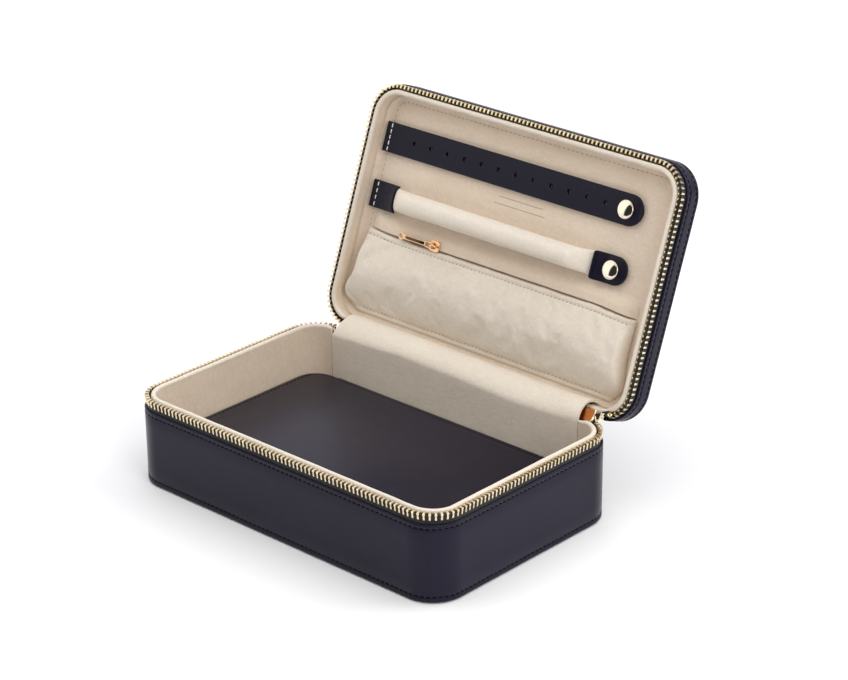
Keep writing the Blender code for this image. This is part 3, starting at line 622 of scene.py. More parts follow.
def stitches(line, outward, pitch, length, radius, closed=False, lift=0.25, slant=0.12):
    """Stitches along a line, diving into the surface at both ends. pitch, length and radius are in mm."""
    pitch, length, radius = pitch * MM, length * MM, radius * MM
    line, outward = np.asarray(line, float), np.asarray(outward, float)
    outward = np.broadcast_to(outward, line.shape)
    if closed:
        line, outward = np.vstack([line, line[:1]]), np.vstack([outward, outward[:1]])
    steps = np.concatenate([[0], np.cumsum(np.linalg.norm(np.diff(line, axis=0), axis=1))])
    count = max(1, int(round(steps[-1] / pitch)))
    spots = (np.arange(count) + 0.5) * steps[-1] / count
    rings, sides = 7, 6
    share = np.linspace(-1, 1, rings)
    at = np.clip(spots[:, None] + share[None, :] * length / 2, 0, steps[-1])

    def sampled(values):
        return np.stack([np.interp(at, steps, values[:, k]) for k in range(3)], axis=2)

    centres, up = sampled(line), sampled(outward)
    side = unit(np.cross(unit(np.gradient(centres, axis=1)), up))
    skew = (slant * length * (0.7 + 0.6 * RANDOM.random(count)))[:, None] * share[None, :] / 2
    height = radius * (lift - 1.5 * share**4)
    centres = centres + side * skew[:, :, None] + up * height[None, :, None]
    thick = radius * np.sqrt(np.clip(1.04 - share**4, 0.04, 1))
    turns = np.linspace(0, 2 * math.pi, sides, endpoint=False)[None, None, :, None]
    ring = side[:, :, None, :] * np.cos(turns) + up[:, :, None, :] * np.sin(turns)
    points = centres[:, :, None, :] + ring * thick[None, :, None, None]
    size = rings * sides
    one = grid_faces(rings, sides, True) + [list(range(sides))[::-1], list(range(size - sides, size))]
    faces = [[size * k + index for index in face] for k in range(count) for face in one]
    return points.reshape(-1, 3), faces


def surface_of(obj):
    """A lookup of an object's own mesh, to lay stitching on it."""
    mesh = obj.data
    return BVHTree.FromPolygons([v.co for v in mesh.vertices], [list(p.vertices) for p in mesh.polygons])


DROP_FROM = 30 * MM


def laid_on(surface, points, direction):
    """(points, normals facing back) where points dropped along a direction meet a surface."""
    direction = Vector(direction)
    spots, normals = [], []
    for point in points:
        spot, normal = surface.ray_cast(Vector(point) - direction * DROP_FROM, direction)[:2]
        if spot is not None:
            spots.append(spot)
            normals.append(normal if normal.dot(direction) < 0 else -normal)
    return np.array(spots), np.array(normals)


# Leather shells

WALL_STITCH = dict(pitch=3.0, length=2.2, radius=0.28)
SEAM_FROM_EDGE = 2.3 * MM
WELT_FROM_EDGE = 2.6 * MM
GROOVE_DEPTH = 0.36 * MM
THREAD_INSET = 0.26 * MM
GROOVE_REACH = 1.00 * MM
PANEL_INSET = 1.45 * MM
PANEL_CORNER_STEPS = 10


def groove(height):
    """Profile points of a line pressed into an outer face, from below to above."""
    return [(GROOVE_DEPTH * deep, height + GROOVE_REACH * reach)
            for deep, reach in ((0, -1), (0.7, -0.4), (1, 0), (0.7, 0.4), (0, 1))]


def wall_profile(low, high, lines, round_low, round_high):
    """Leather wall section: rounded edges, two stitched lines from below to above, and a plain inner face."""
    t = LEATHER_THICKNESS
    first, second = lines
    profile = [(t, low + round_low), (t - 0.3 * round_low, low), (round_low, low),
               (0.3 * round_low, low + 0.25 * round_low), (0.0, low + round_low)]
    profile += groove(first) + [(0.0, first + share * (second - first)) for share in (0.2, 0.4, 0.6, 0.8)]
    profile += groove(second) + [(0.0, high - round_high), (0.3 * round_high, high - 0.25 * round_high)]
    return profile + [(round_high, high), (t - 0.3 * round_high, high), (t, high - round_high)]


def leather_walls():
    """Each half's wall, with a seam beside the zip and a welt at the far edge."""
    for body, box, seam, welt, rounding, wave, seed in (
        ("base", BASE_WALL, BASE_WALL[1].z - SEAM_FROM_EDGE, BASE_WALL[0].z + WELT_FROM_EDGE,
         (0.55 * MM, 0.60 * MM), 0.10 * MM, 1),
        ("lid", LID_WALL, LID_WALL[0].z + SEAM_FROM_EDGE, LID_WALL[1].z - WELT_FROM_EDGE + 0.5 * MM,
         (0.60 * MM, 0.55 * MM), 0.08 * MM, 2),
    ):
        profile = wall_profile(box[0].z, box[1].z, sorted((seam, welt)), *rounding)
        part = swept(profile, wave=wave, seed=seed)
        piece(f"{body}_wall_leather", part, "wall_leather", body, [f"{body}_leather_wall"])
        for kind, height in (("seam", seam), ("welt", welt)):
            line, normals = along_path(run_lengths(None, None, 0.0, 1.5 * MM), THREAD_INSET, height, 0.0)
            thread = stitches(line, normals, closed=True, **WALL_STITCH)
            piece(f"{body}_{kind}_stitches", thread, "shaded_navy_thread", body)


def padded_panel(half_x, low_y, high_y, radius, insets, heights, back, spacing, crown=lambda x, y: 0.0):
    """A closed rounded rectangle: a face at the heights over its insets, and a flat back at height back.

    The face is loops at the given insets, then a plain grid inside the corner centres. crown(x, y) raises it.
    """
    centre_x = half_x - radius
    centre_low, centre_high = low_y + radius, high_y - radius
    columns = max(2, round(2 * centre_x / spacing))
    rows = max(2, round((centre_high - centre_low) / spacing))
    xs = np.linspace(-centre_x, centre_x, columns + 1)
    ys = np.linspace(centre_low, centre_high, rows + 1)
    loops = []
    for inset, height in zip(insets, heights):
        reach = max(radius - inset, 0.0)
        loop = []
        for side, corner, start in (
            ([(x, centre_low - reach) for x in xs[:-1]], (centre_x, centre_low), -90),
            ([(centre_x + reach, y) for y in ys[:-1]], (centre_x, centre_high), 0),
            ([(x, centre_high + reach) for x in xs[::-1][:-1]], (-centre_x, centre_high), 90),
            ([(-centre_x - reach, y) for y in ys[::-1][:-1]], (-centre_x, centre_low), 180),
        ):
            loop += side + arc(*corner, reach, start, start + 90, PANEL_CORNER_STEPS)[:-1]
        loops.append([(x, y, height + crown(x, y)) for x, y in loop])
    border = loft(loops, caps=False)
    inner = sheet(np.array([[(x, y, heights[-1] + crown(x, y)) for x in xs] for y in ys]))
    under = [(point[0], point[1], back) for point in loops[0]]
    skirt = loft([under, loops[0]], caps=False)
    closing = (np.array(under), [list(range(len(under)))])
    return merged([border, inner, skirt, closing])


def leather_panels():
    """The underside, and the lid's top with its faint cushion."""
    radius = CORNER_RADIUS - PANEL_INSET
    half_x, half_y = HALF_WIDTH - PANEL_INSET, HALF_DEPTH - PANEL_INSET
    insets = mm(0.0, 0.15, 0.5, 1.2, 3.0, 6.0, 10.0, 16.5)
    drop = mm(0.9, 0.35, 0.1, 0.0, 0.0, 0.0, 0.0, 0.0)
    shape = (half_x, -half_y, half_y, radius, insets)
    part = padded_panel(*shape, BOTTOM[0].z + drop, BOTTOM[1].z, 6 * MM)
    piece("base_underside_leather", part, "wall_leather", "base", ["base_bottom_panel"], weld=True)

    def cushion(x, y):
        inner = (1 - (x / half_x) ** 2) * (1 - (y / half_y) ** 2)
        return 0.45 * MM * max(inner, 0.0) ** 0.5

    part = padded_panel(*shape, TOP[1].z - drop, TOP[0].z, 3 * MM, cushion)
    piece("lid_top_leather", part, "wall_leather", "lid", ["lid_top_panel"], weld=True)


# Main zip

TOOTH_HALF = [(0.50, 0.0), (0.52, 0.9), (0.42, 1.9), (0.42, 2.25), (0.66, 2.65), (0.70, 3.0), (0.50, 3.5)]
TOOTH_HALF_DEPTH = 1.12 * MM
TAPE_HALF_THICKNESS = 0.35 * MM
CORD_RADIUS = 0.52 * MM
CORD_RISE = 2.4 * MM
BASE_DROP, LID_DROP, MOUTH_OUT = mm(1.2, 1.7, 1.6)


def tooth_shape():
    """One cast tooth: x along the chain, y through the tape, z from the tape to the head."""
    half = mm(*TOOTH_HALF)
    outline = [(x, z) for x, z in half] + [(-x, z) for x, z in half[::-1]]
    work = bmesh.new()
    sides = (-TOOTH_HALF_DEPTH, TOOTH_HALF_DEPTH)
    layers = [[work.verts.new((x, y, z)) for x, z in outline] for y in sides]
    work.faces.new(layers[0])
    work.faces.new(layers[1][::-1])
    for i in range(len(outline)):
        j = (i + 1) % len(outline)
        work.faces.new((layers[0][j], layers[0][i], layers[1][i], layers[1][j]))
    bmesh.ops.recalc_face_normals(work, faces=work.faces)
    edges = [edge for edge in work.edges if len({round(v.co.y, 6) for v in edge.verts}) == 1]
    bmesh.ops.bevel(work, geom=edges, offset=0.17 * MM, segments=2, profile=0.6, affect="EDGES")
    work.verts.ensure_lookup_table()
    part = points_of(work.verts), [[v.index for v in face.verts] for face in work.faces]
    work.free()
    return part


def placed_teeth(shape, origins, along, through, up):
    """Copies of a tooth, each with its own three directions, or all with the same."""
    points, faces = shape
    ways = (along, through, up)
    along, through, up = (np.broadcast_to(np.asarray(way, float), origins.shape) for way in ways)
    spots = origins[:, None, :] + points[None, :, 0:1] * along[:, None, :]
    spots = spots + points[None, :, 1:2] * through[:, None, :] + points[None, :, 2:3] * up[:, None, :]
    every = [[k * len(points) + index for index in face] for k in range(len(origins)) for face in faces]
    return spots.reshape(-1, 3), every


def toward_mouth(x):
    """0 on the walls and 1 where the rows meet at the hinge, by distance from the middle."""
    return 1 - smoothstep(np.abs(x), TEETH_END, MOUTH_RIGID)


def drawn_in(part, drop, by=None):
    """The right end leaves the wall near the hinge: it sinks and moves out towards the slider.

    by gives the x that each point goes by, so that a rigid tooth stays rigid.
    """
    points = np.array(part[0], float)
    by = points[:, 0] if by is None else by
    share = toward_mouth(by) * (points[:, 1] > 0) * (by > 0)
    points[:, 1] += share * MOUTH_OUT
    points[:, 2] -= share * drop
    return points, part[1]


def half_opened(part, by=None):
    """Turns each point about the hinge by its share of the lid's opening."""
    points = np.array(part[0], float)
    angle = OPEN_ANGLE * (1 - toward_mouth(points[:, 0] if by is None else by))
    y, z = points[:, 1] - HINGE.y, points[:, 2] - HINGE.z
    points[:, 1] = HINGE.y + y * np.cos(angle) - z * np.sin(angle)
    points[:, 2] = HINGE.z + y * np.sin(angle) + z * np.cos(angle)
    return points, part[1]


def faces_where(part, keep):
    """The faces whose every point is kept."""
    points, faces = part
    kept = [face for face in faces if all(keep[index] for index in face)]
    used = sorted({index for face in kept for index in face})
    place = {index: k for k, index in enumerate(used)}
    return points[used], [[place[index] for index in face] for face in kept]


def tooth_row(foot, head, drop):
    """A whole row in the shut pose, and for each point its tooth's x, which is 0 off the back."""
    end = 0.6 * MM
    lengths = run_lengths(TEETH_LEFT_END + end, TEETH_END + end, TEETH_INSET, TOOTH_PITCH)
    origins, outward = along_path(lengths, TEETH_INSET, foot)
    straight = np.tile([0.0, 0.0, math.copysign(1.0, head - foot)], (len(origins), 1))
    along = np.cross(outward, straight)
    up = straight * math.cos(TEETH_LEAN) + outward * math.sin(TEETH_LEAN)
    through = outward * math.cos(TEETH_LEAN) - straight * math.sin(TEETH_LEAN)
    shape = tooth_shape()
    row = placed_teeth(shape, origins, along, through, up)
    per_tooth = np.repeat(origins[:, 0] * (origins[:, 1] > 0), len(shape[0]))
    return drawn_in(row, drop, per_tooth), per_tooth


def tape_strip(edge, far, foot, right_end):
    """Zip tape with its corded edge, which leans outwards from the foot of the teeth."""
    step = math.copysign(1.0, far - edge)
    centre = TEETH_INSET - (abs(edge - foot) - CORD_RADIUS) * math.tan(TEETH_LEAN)
    bead = [(centre + CORD_RADIUS * math.cos(a), edge + step * CORD_RADIUS * (1 - math.sin(a)))
            for a in np.linspace(-0.35 * math.pi, 1.35 * math.pi, 11)]
    inner, outer = TEETH_INSET + TAPE_HALF_THICKNESS, TEETH_INSET - TAPE_HALF_THICKNESS
    profile = [(inner, far), (inner, foot)] + bead + [(outer, foot), (outer, far)]
    return swept(profile, TEETH_LEFT_END, right_end, TEETH_INSET, spacing=1.2 * MM)


def zips():
    """Both rows and their tapes. The lid's right end bends from the slider on the base out to the lid."""
    foot = BASE_TEETH[0].z
    row = tooth_row(foot, BASE_TEETH[1].z, BASE_DROP)[0]
    piece("base_zip_row", row, "pale_gold", "base", ["base_zip_teeth"], sharp=40)
    tape = drawn_in(tape_strip(foot + CORD_RISE, BASE_TAPE[0].z, foot, TEETH_END), BASE_DROP)
    piece("base_zip_tape_strip", tape, "tape_weave", "base", ["base_zip_tape"])

    foot = LID_TEETH[1].z
    row, x_of = tooth_row(foot, LID_TEETH[0].z, LID_DROP)
    rigid = (x_of <= 0) | (x_of > MOUTH_RIGID + 1 * MM)
    piece("lid_zip_row", faces_where(row, rigid), "pale_gold", "lid", ["lid_zip_teeth"], sharp=40)
    tape = tape_strip(foot - CORD_RISE, LID_TAPE[1].z, foot, MOUTH_RIGID)
    piece("lid_zip_tape_strip", tape, "tape_weave", "lid", ["lid_zip_tape"])
    ends = half_opened(faces_where(row, ~rigid), x_of[~rigid])
    strip = drawn_in(tape_strip(foot - CORD_RISE, foot + 0.6 * MM, foot, TEETH_END), LID_DROP)
    x, y = strip[0][:, 0], strip[0][:, 1]
    strip = half_opened(faces_where(strip, (x > 0) & (x < MOUTH_RIGID + 1.5 * MM) & (y > 0)))
    for kind, part, finish in (("teeth", ends, "pale_gold"), ("tape", strip, "tape_weave")):
        obj = piece(f"lid_zip_{kind}_end", part, finish, sharp=40)
        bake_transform(obj)


# Suede lining and the hinge


def piping(body, height, right_end, away, seed):
    """The rolled rim: suede over a cord, a little uneven, and thinner at its ends."""
    lengths = run_lengths(PIPING_LEFT_END, right_end, PIPING_INSET, 1.6 * MM)
    points, outward = along_path(lengths, PIPING_INSET, height)
    x, on_back = points[:, 0], points[:, 1] > 0
    thin = np.where(on_back & (x > 0), 1 - smoothstep(x, right_end, right_end + 5 * MM), 0.0)
    left = 0.6 - 0.6 * smoothstep(-x, PIPING_LEFT_END - 0.2 * MM, PIPING_LEFT_END + 2.8 * MM)
    thin = np.maximum(thin, np.where(on_back & (x < 0), left, 0))
    points[:, 2] += 0.10 * MM * ripple(points, 14 * MM, seed) + away * 0.55 * MM * thin
    radii = PIPING_RADIUS * (1 + 0.05 * ripple(points, 9 * MM, seed + 4)) * (1 - 0.5 * thin)
    roll = tube(points, radii, outward, steps=16)
    piece(f"{body}_rim_roll", roll, "pouch_suede", body, [f"{body}_rim_piping"], sharp=80)


def lining(body, rim, far, right_end, seed):
    """Wall lining, soft over its board, from the middle of the piping at its rim."""
    outer, inner = LINING_INSETS
    profile = [(inner, height) for height in np.linspace(far, rim, 10)] + [(outer, rim), (outer, far)]
    part = swept(profile, LINING_LEFT_END, right_end, outer, 2.0 * MM, 0.20 * MM, seed)
    piece(f"{body}_lining", part, "cream_suede", body, [f"{body}_wall_lining"])


def linings():
    base_rim, lid_rim = ((box[0].z + box[1].z) / 2 for box in (BASE_PIPING, LID_PIPING))
    piping("base", base_rim, PIPING_RIGHT_END, -1.0, 3)
    piping("lid", lid_rim, LID_PIPING_RIGHT_END, 1.0, 5)
    lining("base", base_rim, BASE_LINING[0].z, LINING_RIGHT_END, 11)
    lining("lid", lid_rim, LID_LINING[1].z, LID_PIPING_RIGHT_END, 12)


def opened_yz(y, z):
    """Where a point of the shut lid stands once the lid is open."""
    return np.array((OPEN @ Vector((0.0, y, z))).yz)


def bezier(handles, steps):
    t = np.linspace(0, 1, steps)[:, None]
    a, b, c, d = (np.asarray(handle, float) for handle in handles)
    return (1 - t) ** 3 * a + 3 * (1 - t) ** 2 * t * b + 3 * (1 - t) * t**2 * c + t**3 * d


def leg(start, end, steps):
    """A straight run that stops one step before its end."""
    return np.linspace(start, end, steps, endpoint=False)


def hinge_sheet(lines, left, right, thickness, soft, seed):
    """A soft sheet along the hinge, from one (y, z) line per column, with half widths to left and right."""
    share = np.linspace(0, 1, len(lines))
    middle = np.transpose(lines, (1, 0, 2))
    tangents = unit(np.gradient(middle, axis=0))
    normals = np.stack([-tangents[:, :, 1], tangents[:, :, 0]], axis=2)
    left, right = (np.broadcast_to(side, len(middle))[:, None] for side in (left, right))
    sides = []
    for offset in (thickness / 2, -thickness / 2):
        points = np.zeros((*middle.shape[:2], 3))
        points[:, :, 0] = -left * (1 - share) + right * share
        points[:, :, 1:] = middle
        sag = ripple(points.reshape(-1, 3) * (0.45, 1, 1), 16 * MM, seed).reshape(points.shape[:2]) * soft
        points[:, :, 1:] += normals * (offset + sag[:, :, None])
        sides.append(points)
    return loft(np.concatenate([sides[0], sides[1][:, ::-1]], axis=1))


GUSSET_LEGS, GUSSET_STEPS, GUSSET_COLUMNS = 8, 21, 73
GUSSET_SAG = mm(  # x, where the gusset leaves the wall, the height it is drawn towards, and its crest
    (-87.0, 42.0, 46.2, 54.5),
    (-38.0, 44.6, 49.0, 55.2),
    (0.0, 44.2, 48.6, 55.2),
    (40.0, 42.8, 47.2, 55.4),
    (68.0, 43.6, 48.8, 56.0),
    (78.0, 44.6, 51.0, 56.6),
    (84.0, 44.8, 52.0, 57.0),
)
GUSSET_CREST_Y = 74.2 * MM
SPINE_HALF_WIDTH = 73 * MM
SPINE_LOW, SPINE_BEND = 24 * MM, 42 * MM
SPINE_LID_BEND, SPINE_LID_HIGH = 50 * MM, 60.5 * MM


def gusset():
    """The slack suede inside the hinge. Its height changes along it, and it climbs over the slider."""
    inner_y = HALF_DEPTH - sum(LINING_INSETS) / 2 - 0.1 * MM
    lid_end = opened_yz(inner_y - 0.5 * MM, LID_PANEL[0].z - 0.3 * MM)
    lines = []
    for x in np.linspace(-LINING_LEFT_END, LINING_RIGHT_END, GUSSET_COLUMNS):
        start, rise, crest = (np.interp(x, GUSSET_SAG[:, 0], GUSSET_SAG[:, k]) for k in (1, 2, 3))
        handles = [(inner_y, start), (inner_y - 0.2 * MM, rise), (GUSSET_CREST_Y, crest), lid_end]
        wall = leg((inner_y, BASE_LINING[0].z), (inner_y, start), GUSSET_LEGS)
        lines.append(np.vstack([wall, bezier(handles, GUSSET_STEPS)]))
    bend = np.clip((np.arange(GUSSET_LEGS + GUSSET_STEPS) - GUSSET_LEGS) / (GUSSET_STEPS - 1), 0, 1)
    left = LINING_LEFT_END - 0.4 * MM - 1.2 * MM * np.sin(math.pi * bend)
    right = LINING_RIGHT_END - 0.4 * MM - 1.5 * MM * smoothstep(bend, 0.05, 0.7)
    part = hinge_sheet(lines, left, right, 1.1 * MM, 0.30 * MM, 21)
    obj = piece("hinge_gusset_suede", part, "pouch_suede", stands_for=["hinge_gusset"])
    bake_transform(obj)


def spine():
    """The leather outside the hinge."""
    y = HALF_DEPTH + 0.8 * MM
    lid_low, lid_high = opened_yz(y, SPINE_LID_BEND), opened_yz(y, SPINE_LID_HIGH)
    away = unit(lid_high - lid_low)
    handles = [(y, SPINE_BEND), (y, SPINE_BEND + 2.4 * MM), lid_low - away * 1.6 * MM, lid_low]
    wall = leg((y, SPINE_LOW), (y, SPINE_BEND), 8)
    line = np.vstack([wall, bezier(handles, 15), leg(lid_high, lid_low, 8)[::-1]])
    part = hinge_sheet([line] * 41, SPINE_HALF_WIDTH, SPINE_HALF_WIDTH, 0.95 * MM, 0.08 * MM, 23)
    obj = piece("hinge_spine_leather", part, "wall_leather", stands_for=["hinge_spine"])
    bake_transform(obj)


# Inside of the lid

INTO_PANEL = (0, 0, 1)
RULE_MIDDLE = 2 * MM
RULES = ((-24.4 * MM, 15 * MM), (-20.6 * MM, 17 * MM))  # y, half length


def lid_panel():
    """Padded suede panel, drawn down by a line of stitching near its edge, with two plain blind rules."""
    half_x, half_y = LID_PANEL[1].x, LID_PANEL[1].y
    radius = CORNER_RADIUS - (HALF_WIDTH - half_x)
    face, back = LID_PANEL[0].z, LID_PANEL[1].z
    cove = 2.6 * MM
    turns = np.radians(np.linspace(0, 90, 8))
    insets = np.concatenate([cove * (1 - np.cos(turns)), mm(3.4, 4.6, 6.2, 8.2, 11.8)])
    climb = np.concatenate([cove * (1 - np.sin(turns)), np.zeros(5)])
    left, right, front, rear = -half_x + 4.8 * MM, half_x - 3.2 * MM, -half_y + 3.0 * MM, half_y - 5.0 * MM

    def soft(x, y):
        from_seam = min(abs(x - left), abs(x - right), abs(y - front))
        drawn = 0.32 * MM * math.exp(-((from_seam / (0.9 * MM)) ** 2))
        return drawn + 0.16 * MM * noise.noise(Vector((x, y, 0.3)) / (26 * MM))

    part = padded_panel(half_x, -half_y, half_y, radius, insets, face - climb, back, 1.3 * MM, soft)
    panel = piece("lid_panel_suede", part, "cream_suede", "lid", ["lid_inner_panel"], weld=True, sharp=80)
    surface = surface_of(panel)
    loop = rounded_box(left, right, front, rear, 7 * MM, 8)
    line = densely([(x, y, face) for x, y in loop + loop[:1]], 1.5 * MM)
    thread = stitches(*laid_on(surface, line, INTO_PANEL), 3.0, 1.9, 0.19)
    piece("lid_panel_stitches", thread, "shaded_cream_thread", "lid")
    # The blind rules are drawn as thin cords in the darkened thread: a dark line painted as the shade of the
    # pressed lines.
    rules = []
    for y, half in RULES:
        line = densely([(RULE_MIDDLE - half, y, face), (RULE_MIDDLE + half, y, face)], 1.5 * MM)
        spots, normals = laid_on(surface, line, INTO_PANEL)
        rules.append(tube(spots, 0.20 * MM, normals, 6, 0.5))
    piece("lid_panel_blind_rule_shade", merged(rules), "shaded_cream_thread", "lid")


def flat_strap(xs, half_width, box, bow=lambda x: 0.0, columns=2):
    """A leather strip along X as thick as a box, half_width(x) wide and bowed by bow(x).

    columns above 2 adds points across its flat sides, so that it can drape.
    """
    middle, size = middle_and_half(box)
    thick, rounding = size[2], STRAP_EDGE_ROUNDING
    rings = []
    for x in xs:
        half = max(half_width(x), rounding * 1.02)
        corners = rounded_box(-half, half, -thick, thick, rounding, 3)
        flat = np.linspace(half - rounding, rounding - half, columns)[1:-1]
        back, front = [(y, thick) for y in flat], [(y, -thick) for y in flat[::-1]]
        section = corners[:4] + back + corners[4:12] + front + corners[12:]
        rings.append([(x, middle[1] + y, middle[2] + z + bow(x)) for y, z in section])
    return loft(rings)


def tip_of(right, length, steps):
    """x positions that crowd towards a round end."""
    return [right - length * (1 - math.sin(a)) for a in np.linspace(0, math.pi / 2, steps)]


def cut_by(obj, cutter_part):
    """Cuts holes through a piece's mesh."""
    cutter = linked("cutter", mesh_of("cutter", cutter_part))
    cutter.matrix_world = obj.matrix_world
    bpy.context.view_layer.update()
    cut = obj.modifiers.new("holes", "BOOLEAN")
    cut.operation = "DIFFERENCE"
    cut.object = cutter
    mesh = evaluated_mesh(obj)
    obj.modifiers.remove(cut)
    bpy.data.objects.remove(cutter)
    old = obj.data
    obj.data = mesh
    bpy.data.meshes.remove(old)


HOLE_COUNT = 12
HOLE_FIRST = -74.6 * MM
HOLE_PITCH = 11.85 * MM
HOLE_RADIUS = 1.15 * MM
SEWN_END, FREE_FROM, SEAM_FROM_END = mm(4.2, 13.0, 3.6)


def earring_strap():
    """Leather strap with a row of punched holes."""
    left, right = STRAP[0].x, STRAP[1].x
    middle, size = middle_and_half(STRAP)
    half = size[1]
    round_start = right - half

    def width(x):
        return half if x < round_start else math.sqrt(max(half**2 - (x - round_start) ** 2, 0))

    xs = np.concatenate([np.arange(left, round_start - 1 * MM, 1.6 * MM), tip_of(right, half, 14)])
    strap = piece("earring_strap_leather", flat_strap(xs, width, STRAP), "strap_leather",
                  stands_for=["earring_strap"], turn=OPEN)
    sunk = 1.35 * HOLE_RADIUS
    profile = [(TINY, -2 * MM), (sunk, -2 * MM), (sunk, -0.95 * MM), (HOLE_RADIUS, -0.6 * MM),
               (HOLE_RADIUS, 2 * MM), (TINY, 2 * MM)]
    punch = revolved(profile, 14)
    places = [(HOLE_FIRST + i * HOLE_PITCH, middle[1], middle[2]) for i in range(HOLE_COUNT)]
    cut_by(strap, merged([moved(punch, Matrix.Translation(place)) for place in places]))
    smooth(strap.data, 22)
    bend_with(strap)
    sew_down("earring_strap_stitches", STRAP)


def bend_with(obj):
    """Bakes the piece's placement into its mesh."""
    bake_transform(obj)


def crosswise(x, y, half, z):
    return densely([(x, y - half, z), (x, y + half, z)], 0.5 * MM)


def sew_down(name, box):
    """A short row of white stitches across a strap's left end."""
    middle, half = middle_and_half(box)
    line = crosswise(box[0].x + SEAM_FROM_END, middle[1], half[1] - 0.2 * MM, box[0].z)
    thread = stitches(line, (0, 0, -1), 3.3, 2.7, 0.30, lift=0.5, slant=0.0)
    piece(name, thread, "white_thread", "lid")


def ring_roll():
    """Suede tube over foam. It is flatter at both ends, where the tabs hold it."""
    middle, half = middle_and_half(ROLL)
    radius = half[1]
    back = LID_PANEL[0].z - 0.3 * MM
    starts, ends = ROLL[0].x + 0.5 * MM, RIGHT_TAB[0].x + 1.4 * MM
    rings = []
    for x in starts + (ends - starts) * np.linspace(0, 1, 96) ** 1.15:
        near_left = smoothstep(x, starts - 1.5 * MM, starts + 13 * MM)
        near_right = 1 - smoothstep(x, ends - 15 * MM, ends - 1.2 * MM)
        wide = 0.98 + 0.06 * (1 - near_right) + 0.025 * waver(x / (30 * MM), 0.2, 0.7)
        height = radius * (0.20 + 0.80 * near_right * near_left**0.8)
        ring = []
        for turn in np.linspace(0, 2 * math.pi, 36, endpoint=False):
            c, s = math.cos(turn), math.sin(turn)
            y = radius * wide * math.copysign(abs(c) ** 0.86, c)
            z = height * math.copysign(abs(s) ** 0.92, s)
            crease = 1 + 0.018 * waver(x / (7 * MM), c * 1.4, s * 1.4)
            ring.append((x, middle[1] + y * crease, back - height + z * crease))
        rings.append(ring)
    # The roll's suede is a paler copy of the pouch's: painted light.
    piece("ring_roll_suede", loft(rings), "lit_roll_suede", "roll", ["ring_roll"], sharp=80)


def left_tab():
    """The roll's sewn tab, draped over the end of the tube."""
    middle, size = middle_and_half(LEFT_TAB)
    half = size[1]
    left, right = LEFT_TAB[0].x, LEFT_TAB[1].x
    part = flat_strap(np.linspace(left, right + 2.4 * MM, 26), lambda x: half, LEFT_TAB, columns=18)
    points = part[0]
    reach = smoothstep(points[:, 0], right - 9 * MM, right + 3.5 * MM)
    across = np.clip(np.abs(points[:, 1] - middle[1]) / (half * 1.02), 0, 1)
    points[:, 2] -= 4.0 * MM * reach * np.sqrt(1 - across**2)
    tab = piece("roll_left_tab_leather", part, "strap_leather", stands_for=["roll_left_tab"], turn=OPEN)
    bend_with(tab)
    sew_down("roll_left_tab_stitches", LEFT_TAB)


def right_tab():
    """The roll's free tab, which lifts over the end of the tube and carries the press stud."""
    middle, size = middle_and_half(LEFT_TAB)
    half = size[1]
    left, right = RIGHT_TAB[0].x - 0.5 * MM, RIGHT_TAB[1].x
    round_start = right - half * 0.93

    def width(x):
        if x > round_start:
            return half * math.sqrt(max(1 - ((x - round_start) / (right - round_start)) ** 2, 0)) ** 0.9
        near = min((x - left) / (1.4 * MM), 1.0)
        return half - 1.2 * MM * (1 - math.sqrt(max(1 - (1 - near) ** 2, 0)))

    def lifted(x):
        return -2.7 * MM * (1 - smoothstep(x, left, left + 8 * MM)) ** 1.3

    body = np.arange(left + 1.4 * MM, round_start - 1 * MM, 1.2 * MM)
    xs = np.concatenate([left + mm(0, 0.15, 0.5), body, tip_of(right, right - round_start, 12)])
    part = flat_strap(xs, width, LEFT_TAB, lifted)
    piece("roll_right_tab_leather", part, "strap_leather", "roll", ["roll_right_tab"])
    x = left + 1.9 * MM
    line = crosswise(x, middle[1], half - 1.4 * MM, RIGHT_TAB[0].z + lifted(x))
    piece("roll_right_tab_stitches", stitches(line, (0, 0, -1), 2.4, 1.9, 0.22), "shaded_navy_thread", "roll")


def snaps():
    """Press stud caps: a polished dome in a rolled rim, as shares of the cap's radius and height."""
    turns = np.radians(np.linspace(0.6, 58, 9))
    dome = [(min(1.02 * math.sin(a), 0.90), -0.42 - 0.50 * math.cos(a)) for a in turns]
    rim = [(0.90, -0.62), (0.955, -0.66), (0.99, -0.55), (1.0, -0.40), (0.985, -0.15), (0.95, 0.0),
           (0.002, 0.0)]
    for body, box in (("strap", STRAP_CAP), ("roll", ROLL_CAP)):
        middle, half = middle_and_half(box)
        radius, height = 0.94 * half[0], 0.80 * 2 * half[2]
        cap = revolved([(radius * r, height * h) for r, h in dome + rim], 48)
        cap = moved(cap, Matrix.Translation((middle[0], middle[1], box[1].z)))
        piece(f"{body}_snap_dome", cap, "snap_gold", body, [f"{body}_snap_cap"], sharp=60)


# Pouch

POUCH_SEAM = 3.2 * MM
POUCH_LIP = POUCH[0].y - 1.9 * MM
POUCH_FOOT = POUCH[1].y + 1.4 * MM
POUCH_PUFF = 3.2 * MM
CLOTH_FRAMES = 20
CLOTH = dict(quality=6, mass=0.2, tension_stiffness=14, compression_stiffness=14, shear_stiffness=6,
             bending_stiffness=1.6, use_pressure=True, uniform_pressure_force=4.0, shrink_min=-0.012)


def pouch_sides(y):
    """The pouch's left and right sides at y. It bulges low down, and is pinched in at the bottom."""
    ear = np.exp(-(((y - 47.5 * MM) / (8.0 * MM)) ** 2))
    pinch = smoothstep(y, 50.5 * MM, 57 * MM)
    left = POUCH[0].x - 0.6 * MM - 5.0 * MM * ear + 4.5 * MM * pinch
    right = POUCH[1].x - 2.0 * MM + 2.2 * MM * ear - 4.5 * MM * pinch
    return left, right


